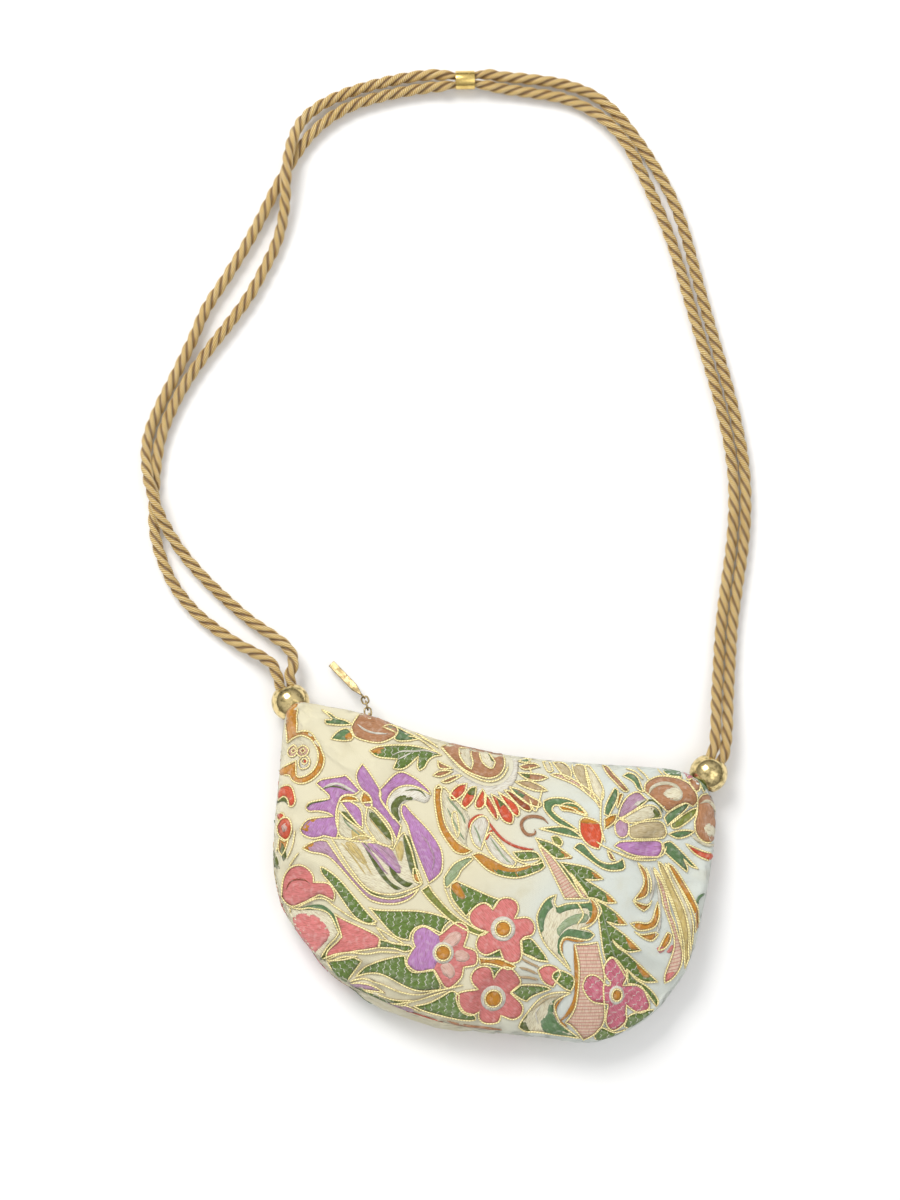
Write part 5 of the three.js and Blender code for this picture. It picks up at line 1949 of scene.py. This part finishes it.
@dataclass
class Brocade:
    """The floral figure of the cloth: dyed patches and floats, edged with gilt thread."""

    cloth: Cloth
    name: str
    weave: bpy.types.Material
    gilt: bpy.types.Material
    mirrored: bool = False
    step: float = 0.0012
    grain: float = 0.0016
    rise: float = 0.00022
    layer_rise: float = 0.00012
    edge_drop: float = 0.00013
    wall: float = 0.0003
    gilt_radius: float = 0.00042
    gilt_sides: int = 6
    rim_clear: float = 1.012
    crowding: float = 0.35
    clearance: float = 0.45
    row_share: float = 0.866
    tint_spread: float = 0.05
    tint_scatter: float = 12.9898
    edge_shade: float = 0.9
    line_layer: int = 3
    float_layer: int = 4
    float_tip: float = 0.25
    float_taper: float = 4.0
    whorl_sides: int = 28
    gilt_lift: float = 0.3
    gilt_flatness: float = 0.75
    gilt_tip: float = 0.35

    def __post_init__(self) -> None:
        """Start with empty meshes."""
        self.points: list[Vector] = []
        self.normals: list[Vector] = []
        self.faces: list[tuple[int, ...]] = []
        self.dyes: list[tuple] = []
        self.marks: list[tuple[float, float]] = []
        self.lays: list[tuple[float, float]] = []
        self.thread = Tubes(self.gilt_sides)

    def plan(self, pixel: Vector) -> Vector:
        """Give a pixel's place in plan, turned over for the back."""
        place = from_photo(pixel)
        return Vector((-place.x, place.y)) if self.mirrored else place

    def traced(self, text: str, closed: bool) -> list[Vector]:
        """Draw a table's outline or path in plan."""
        points, sharp = read_points(text)
        return drawn([self.plan(p) for p in points], sharp, closed, self.step)

    def build(self) -> None:
        """Lay every patch, flower centre, float and gilt line, and make the two pieces."""
        for patch in PATCHES:
            self.lay_patch(self.traced(patch.outline, True), patch.dye, patch.layer, patch.gilt)
        for whorl in WHORLS:
            self.lay_whorl(whorl)
        for each in FLOATS:
            self.lay_float(self.traced(each.path, False), each.width * PIXEL, each.dye)
        for path in GILT_LINES:
            self.lay_gilt(self.traced(path, False), False, self.line_layer)
        self.make_pieces()

    def lay_whorl(self, whorl: Whorl) -> None:
        """Lay a flower's white ring and its eye.

        Args:
            whorl: where it is and its sizes.
        """
        for share, dye, layer in ((1.0, WHITE, self.float_layer), (whorl.eye, OCHRE, self.float_layer + 1)):
            ring = []
            for i in range(self.whorl_sides):
                a = -2 * math.pi * i / self.whorl_sides
                across = whorl.across + whorl.half_width * share * math.cos(a)
                up = whorl.up + whorl.half_height * share * math.sin(a)
                ring.append(self.plan(Vector((across, up))))
            self.lay_patch(ring, dye, layer, share < 1.0)

    def lay_patch(self, line: list[Vector], dye: str, layer: int, gilt: bool) -> None:
        """Fill one outline with a low crowned patch.

        Args:
            line: the outline in plan.
            dye: its colour.
            layer: how many layers lie under it, and 1.
            gilt: whether gilt thread runs round it.
        """
        border = [self.cloth.unrolled(p) for p in line]
        kept = [border[0]]
        for place in border[1:]:
            if (place - kept[-1]).length > self.step * self.crowding:
                kept.append(place)
        flat = [p.xy for p in kept]
        if len(flat) < 4:
            return
        inner = self.inside_points(flat)
        spots, _, triangles, *_ = delaunay_2d_cdt(flat + inner, [], [list(range(len(flat)))], 1, 1e-7)
        middle_of = sum(flat, Vector((0.0, 0.0))) / len(flat)
        lean = self.long_way(flat, middle_of)
        cos, sin = math.cos(-lean), math.sin(-lean)
        high = self.rise + self.layer_rise * layer
        rim = {(round(p.x, 7), round(p.y, 7)) for p in flat}
        colour = linear(dye)
        tint = 1.0 + self.tint_spread * math.sin(len(self.points) * self.tint_scatter)
        base = len(self.points)
        for spot in spots:
            on_rim = (round(spot.x, 7), round(spot.y, 7)) in rim
            place, normal = self.cloth.lifted(spot, high - (self.edge_drop if on_rim else 0.0))
            self.points.append(place)
            self.normals.append(normal)
            shade = tint * (self.edge_shade if on_rim else 1.0)
            self.dyes.append((*(min(1.0, c * shade) for c in colour[:3]), 1.0))
            self.marks.append((float(dye in (LEAF, PINK)), float(dye == SALMON)))
            away = spot - middle_of
            self.lays.append((away.x * cos - away.y * sin, away.x * sin + away.y * cos))
        for a, b, c in triangles:
            self.faces.append(self.facing(base + a, base + b, base + c))
        if gilt:
            self.lay_gilt(line, True, layer)

    def facing(self, a: int, b: int, c: int) -> tuple[int, int, int]:
        """Order a patch's triangle so that it faces away from the cloth.

        Args:
            a: its first vertex.
            b: its second vertex.
            c: its third vertex.

        Returns:
            The three in the right order.
        """
        p, q, r = self.points[a], self.points[b], self.points[c]
        out = self.normals[a] + self.normals[b] + self.normals[c]
        return (a, b, c) if (q - p).cross(r - p).dot(out) >= 0 else (a, c, b)

    def inside_points(self, flat: list[Vector]) -> list[Vector]:
        """Scatter an even triangular grid inside an outline, clear of its edge.

        Args:
            flat: the outline on the unrolled cloth.

        Returns:
            The places of the grid.
        """
        low_x, high_x = min(p.x for p in flat), max(p.x for p in flat)
        low_y, high_y = min(p.y for p in flat), max(p.y for p in flat)
        edges = list(zip(flat, flat[1:] + flat[:1]))
        rows = math.ceil((high_y - low_y) / (self.grain * self.row_share))
        made = []
        for row in range(1, rows):
            y = low_y + row * self.grain * self.row_share
            crossings = []
            for a, b in edges:
                if (a.y > y) != (b.y > y):
                    crossings.append(a.x + (y - a.y) * (b.x - a.x) / (b.y - a.y))
            crossings.sort()
            x = low_x + (row % 2) * self.grain / 2
            while x < high_x:
                left = [c for c in crossings if c < x]
                gap = min((abs(c - x) for c in crossings), default=0.0)
                if len(left) % 2 and gap > self.grain * self.clearance:
                    spot = Vector((x, y))
                    if all((spot - a).length > self.grain * self.clearance for a, _ in edges):
                        made.append(spot)
                x += self.grain
        return made

    def long_way(self, flat: list[Vector], centre: Vector) -> float:
        """Find an outline's long direction.

        Args:
            flat: the outline on the unrolled cloth.
            centre: its middle.

        Returns:
            The direction's angle in radians.
        """
        xx = sum((p.x - centre.x) ** 2 for p in flat)
        yy = sum((p.y - centre.y) ** 2 for p in flat)
        xy = sum((p.x - centre.x) * (p.y - centre.y) for p in flat)
        return 0.5 * math.atan2(2 * xy, xx - yy)

    def lay_gilt(self, line: list[Vector], closed: bool, layer: int) -> None:
        """Lay gilt thread along a line, left out where it would run along the panel's own edge.

        Args:
            line: the line in plan.
            closed: whether it comes back to its start.
            layer: how many layers lie under it.
        """
        runs, run = [], []
        for place in line + line[:1] if closed else line:
            if self.cloth.covers(place * self.rim_clear):
                run.append(place)
            elif run:
                runs.append(run)
                run = []
        runs.append(run)
        whole = closed and len(runs) == 1 and len(runs[0]) == len(line) + 1
        for each in runs:
            if len(each) > 2:
                self.spin_thread(each[:-1] if whole else each, whole, layer)

    def spin_thread(self, line: list[Vector], closed: bool, layer: int) -> None:
        """Make one run of gilt thread as a fine tube.

        Args:
            line: its line in plan.
            closed: whether it comes back to its start.
            layer: how many layers lie under it.
        """
        height = self.rise + self.layer_rise * layer + self.gilt_radius * self.gilt_lift
        laid = [self.cloth.lifted(self.cloth.unrolled(p), height) for p in line]
        count = len(laid)
        sections = []
        for i, (place, normal) in enumerate(laid):
            before = laid[i - 1][0] if i or closed else place
            after = laid[(i + 1) % count][0] if i + 1 < count or closed else place
            across = normal.cross(after - before).normalized()
            radius = self.gilt_radius * (self.gilt_tip if not closed and i in (0, count - 1) else 1.0)
            upward = normal * (radius * self.gilt_flatness)
            sections.append(self.thread.section(place, across * radius, upward))
        places = [place for place, _ in laid]
        self.thread.add(sections, distances(places + places[:1] if closed else places), closed)

    def lay_float(self, line: list[Vector], width: float, dye: str) -> None:
        """Lay one dyed float as a narrow band that tapers at its ends.

        Args:
            line: its line in plan.
            width: its width in metres.
            dye: its colour.
        """
        half = width / 2
        sides = []
        for i, place in enumerate(line):
            along = (line[min(i + 1, len(line) - 1)] - line[max(i - 1, 0)]).normalized()
            share = i / (len(line) - 1)
            taper = half * min(1.0, self.float_tip + self.float_taper * min(share, 1 - share))
            over = Vector((-along.y, along.x)) * taper
            sides.append((place + over, place - over))
        band = [s[0] for s in sides] + [s[1] for s in reversed(sides)]
        self.lay_patch(band, dye, self.float_layer, False)

    def make_pieces(self) -> None:
        """Turn what was laid into two pieces of the bag."""
        motifs = mesh_piece(f"{self.name}_motifs", self.points, self.faces)
        mesh = motifs.data
        mesh.color_attributes.new("dye", "FLOAT_COLOR", "POINT")
        mesh.attributes.new("ticks", "FLOAT", "POINT")
        mesh.attributes.new("ribs", "FLOAT", "POINT")
        mesh.uv_layers.new(name="lay")
        mesh.color_attributes["dye"].data.foreach_set("color", [c for dye in self.dyes for c in dye])
        mesh.attributes["ticks"].data.foreach_set("value", [mark[0] for mark in self.marks])
        mesh.attributes["ribs"].data.foreach_set("value", [mark[1] for mark in self.marks])
        for loop in mesh.loops:
            mesh.uv_layers["lay"].data[loop.index].uv = self.lays[loop.vertex_index]
        take(motifs)
        bpy.ops.object.shade_smooth()
        apply_modifier(motifs, "SOLIDIFY", thickness=self.wall, offset=-1.0, use_even_offset=False)
        hand_in(motifs, self.weave, "brocade")
        hand_in(self.thread.piece(f"{self.name}_gilt_thread", "thread"), self.gilt, "brocade")


def main() -> None:
    """Build the studio and the bag, piece by piece."""
    logging.basicConfig(level=logging.INFO, format="%(message)s")
    left_ball, right_ball, ferrule = middle("left_ball"), middle("right_ball"), middle("strap_ferrule")
    Studio(PHOTO_MIDDLE).build()
    Strap(left_ball, right_ball, ferrule).build()
    CornerBalls(left_ball, right_ball).build()
    ZipPull().build()
    ZipTeeth().build()
    ground, weave, gilt = GROUND.material(), MOTIF.material(), GILT.material()
    for panel in (ClothPanel("front_panel", "front_cloth", 1), ClothPanel("back_panel", "back_cloth", -1)):
        skin = panel.build()
        Brocade(Cloth(skin, panel.side), panel.name, weave, gilt, panel.side < 0).build()
        panel.finish(skin, ground)


if __name__ == "__main__":
    main()
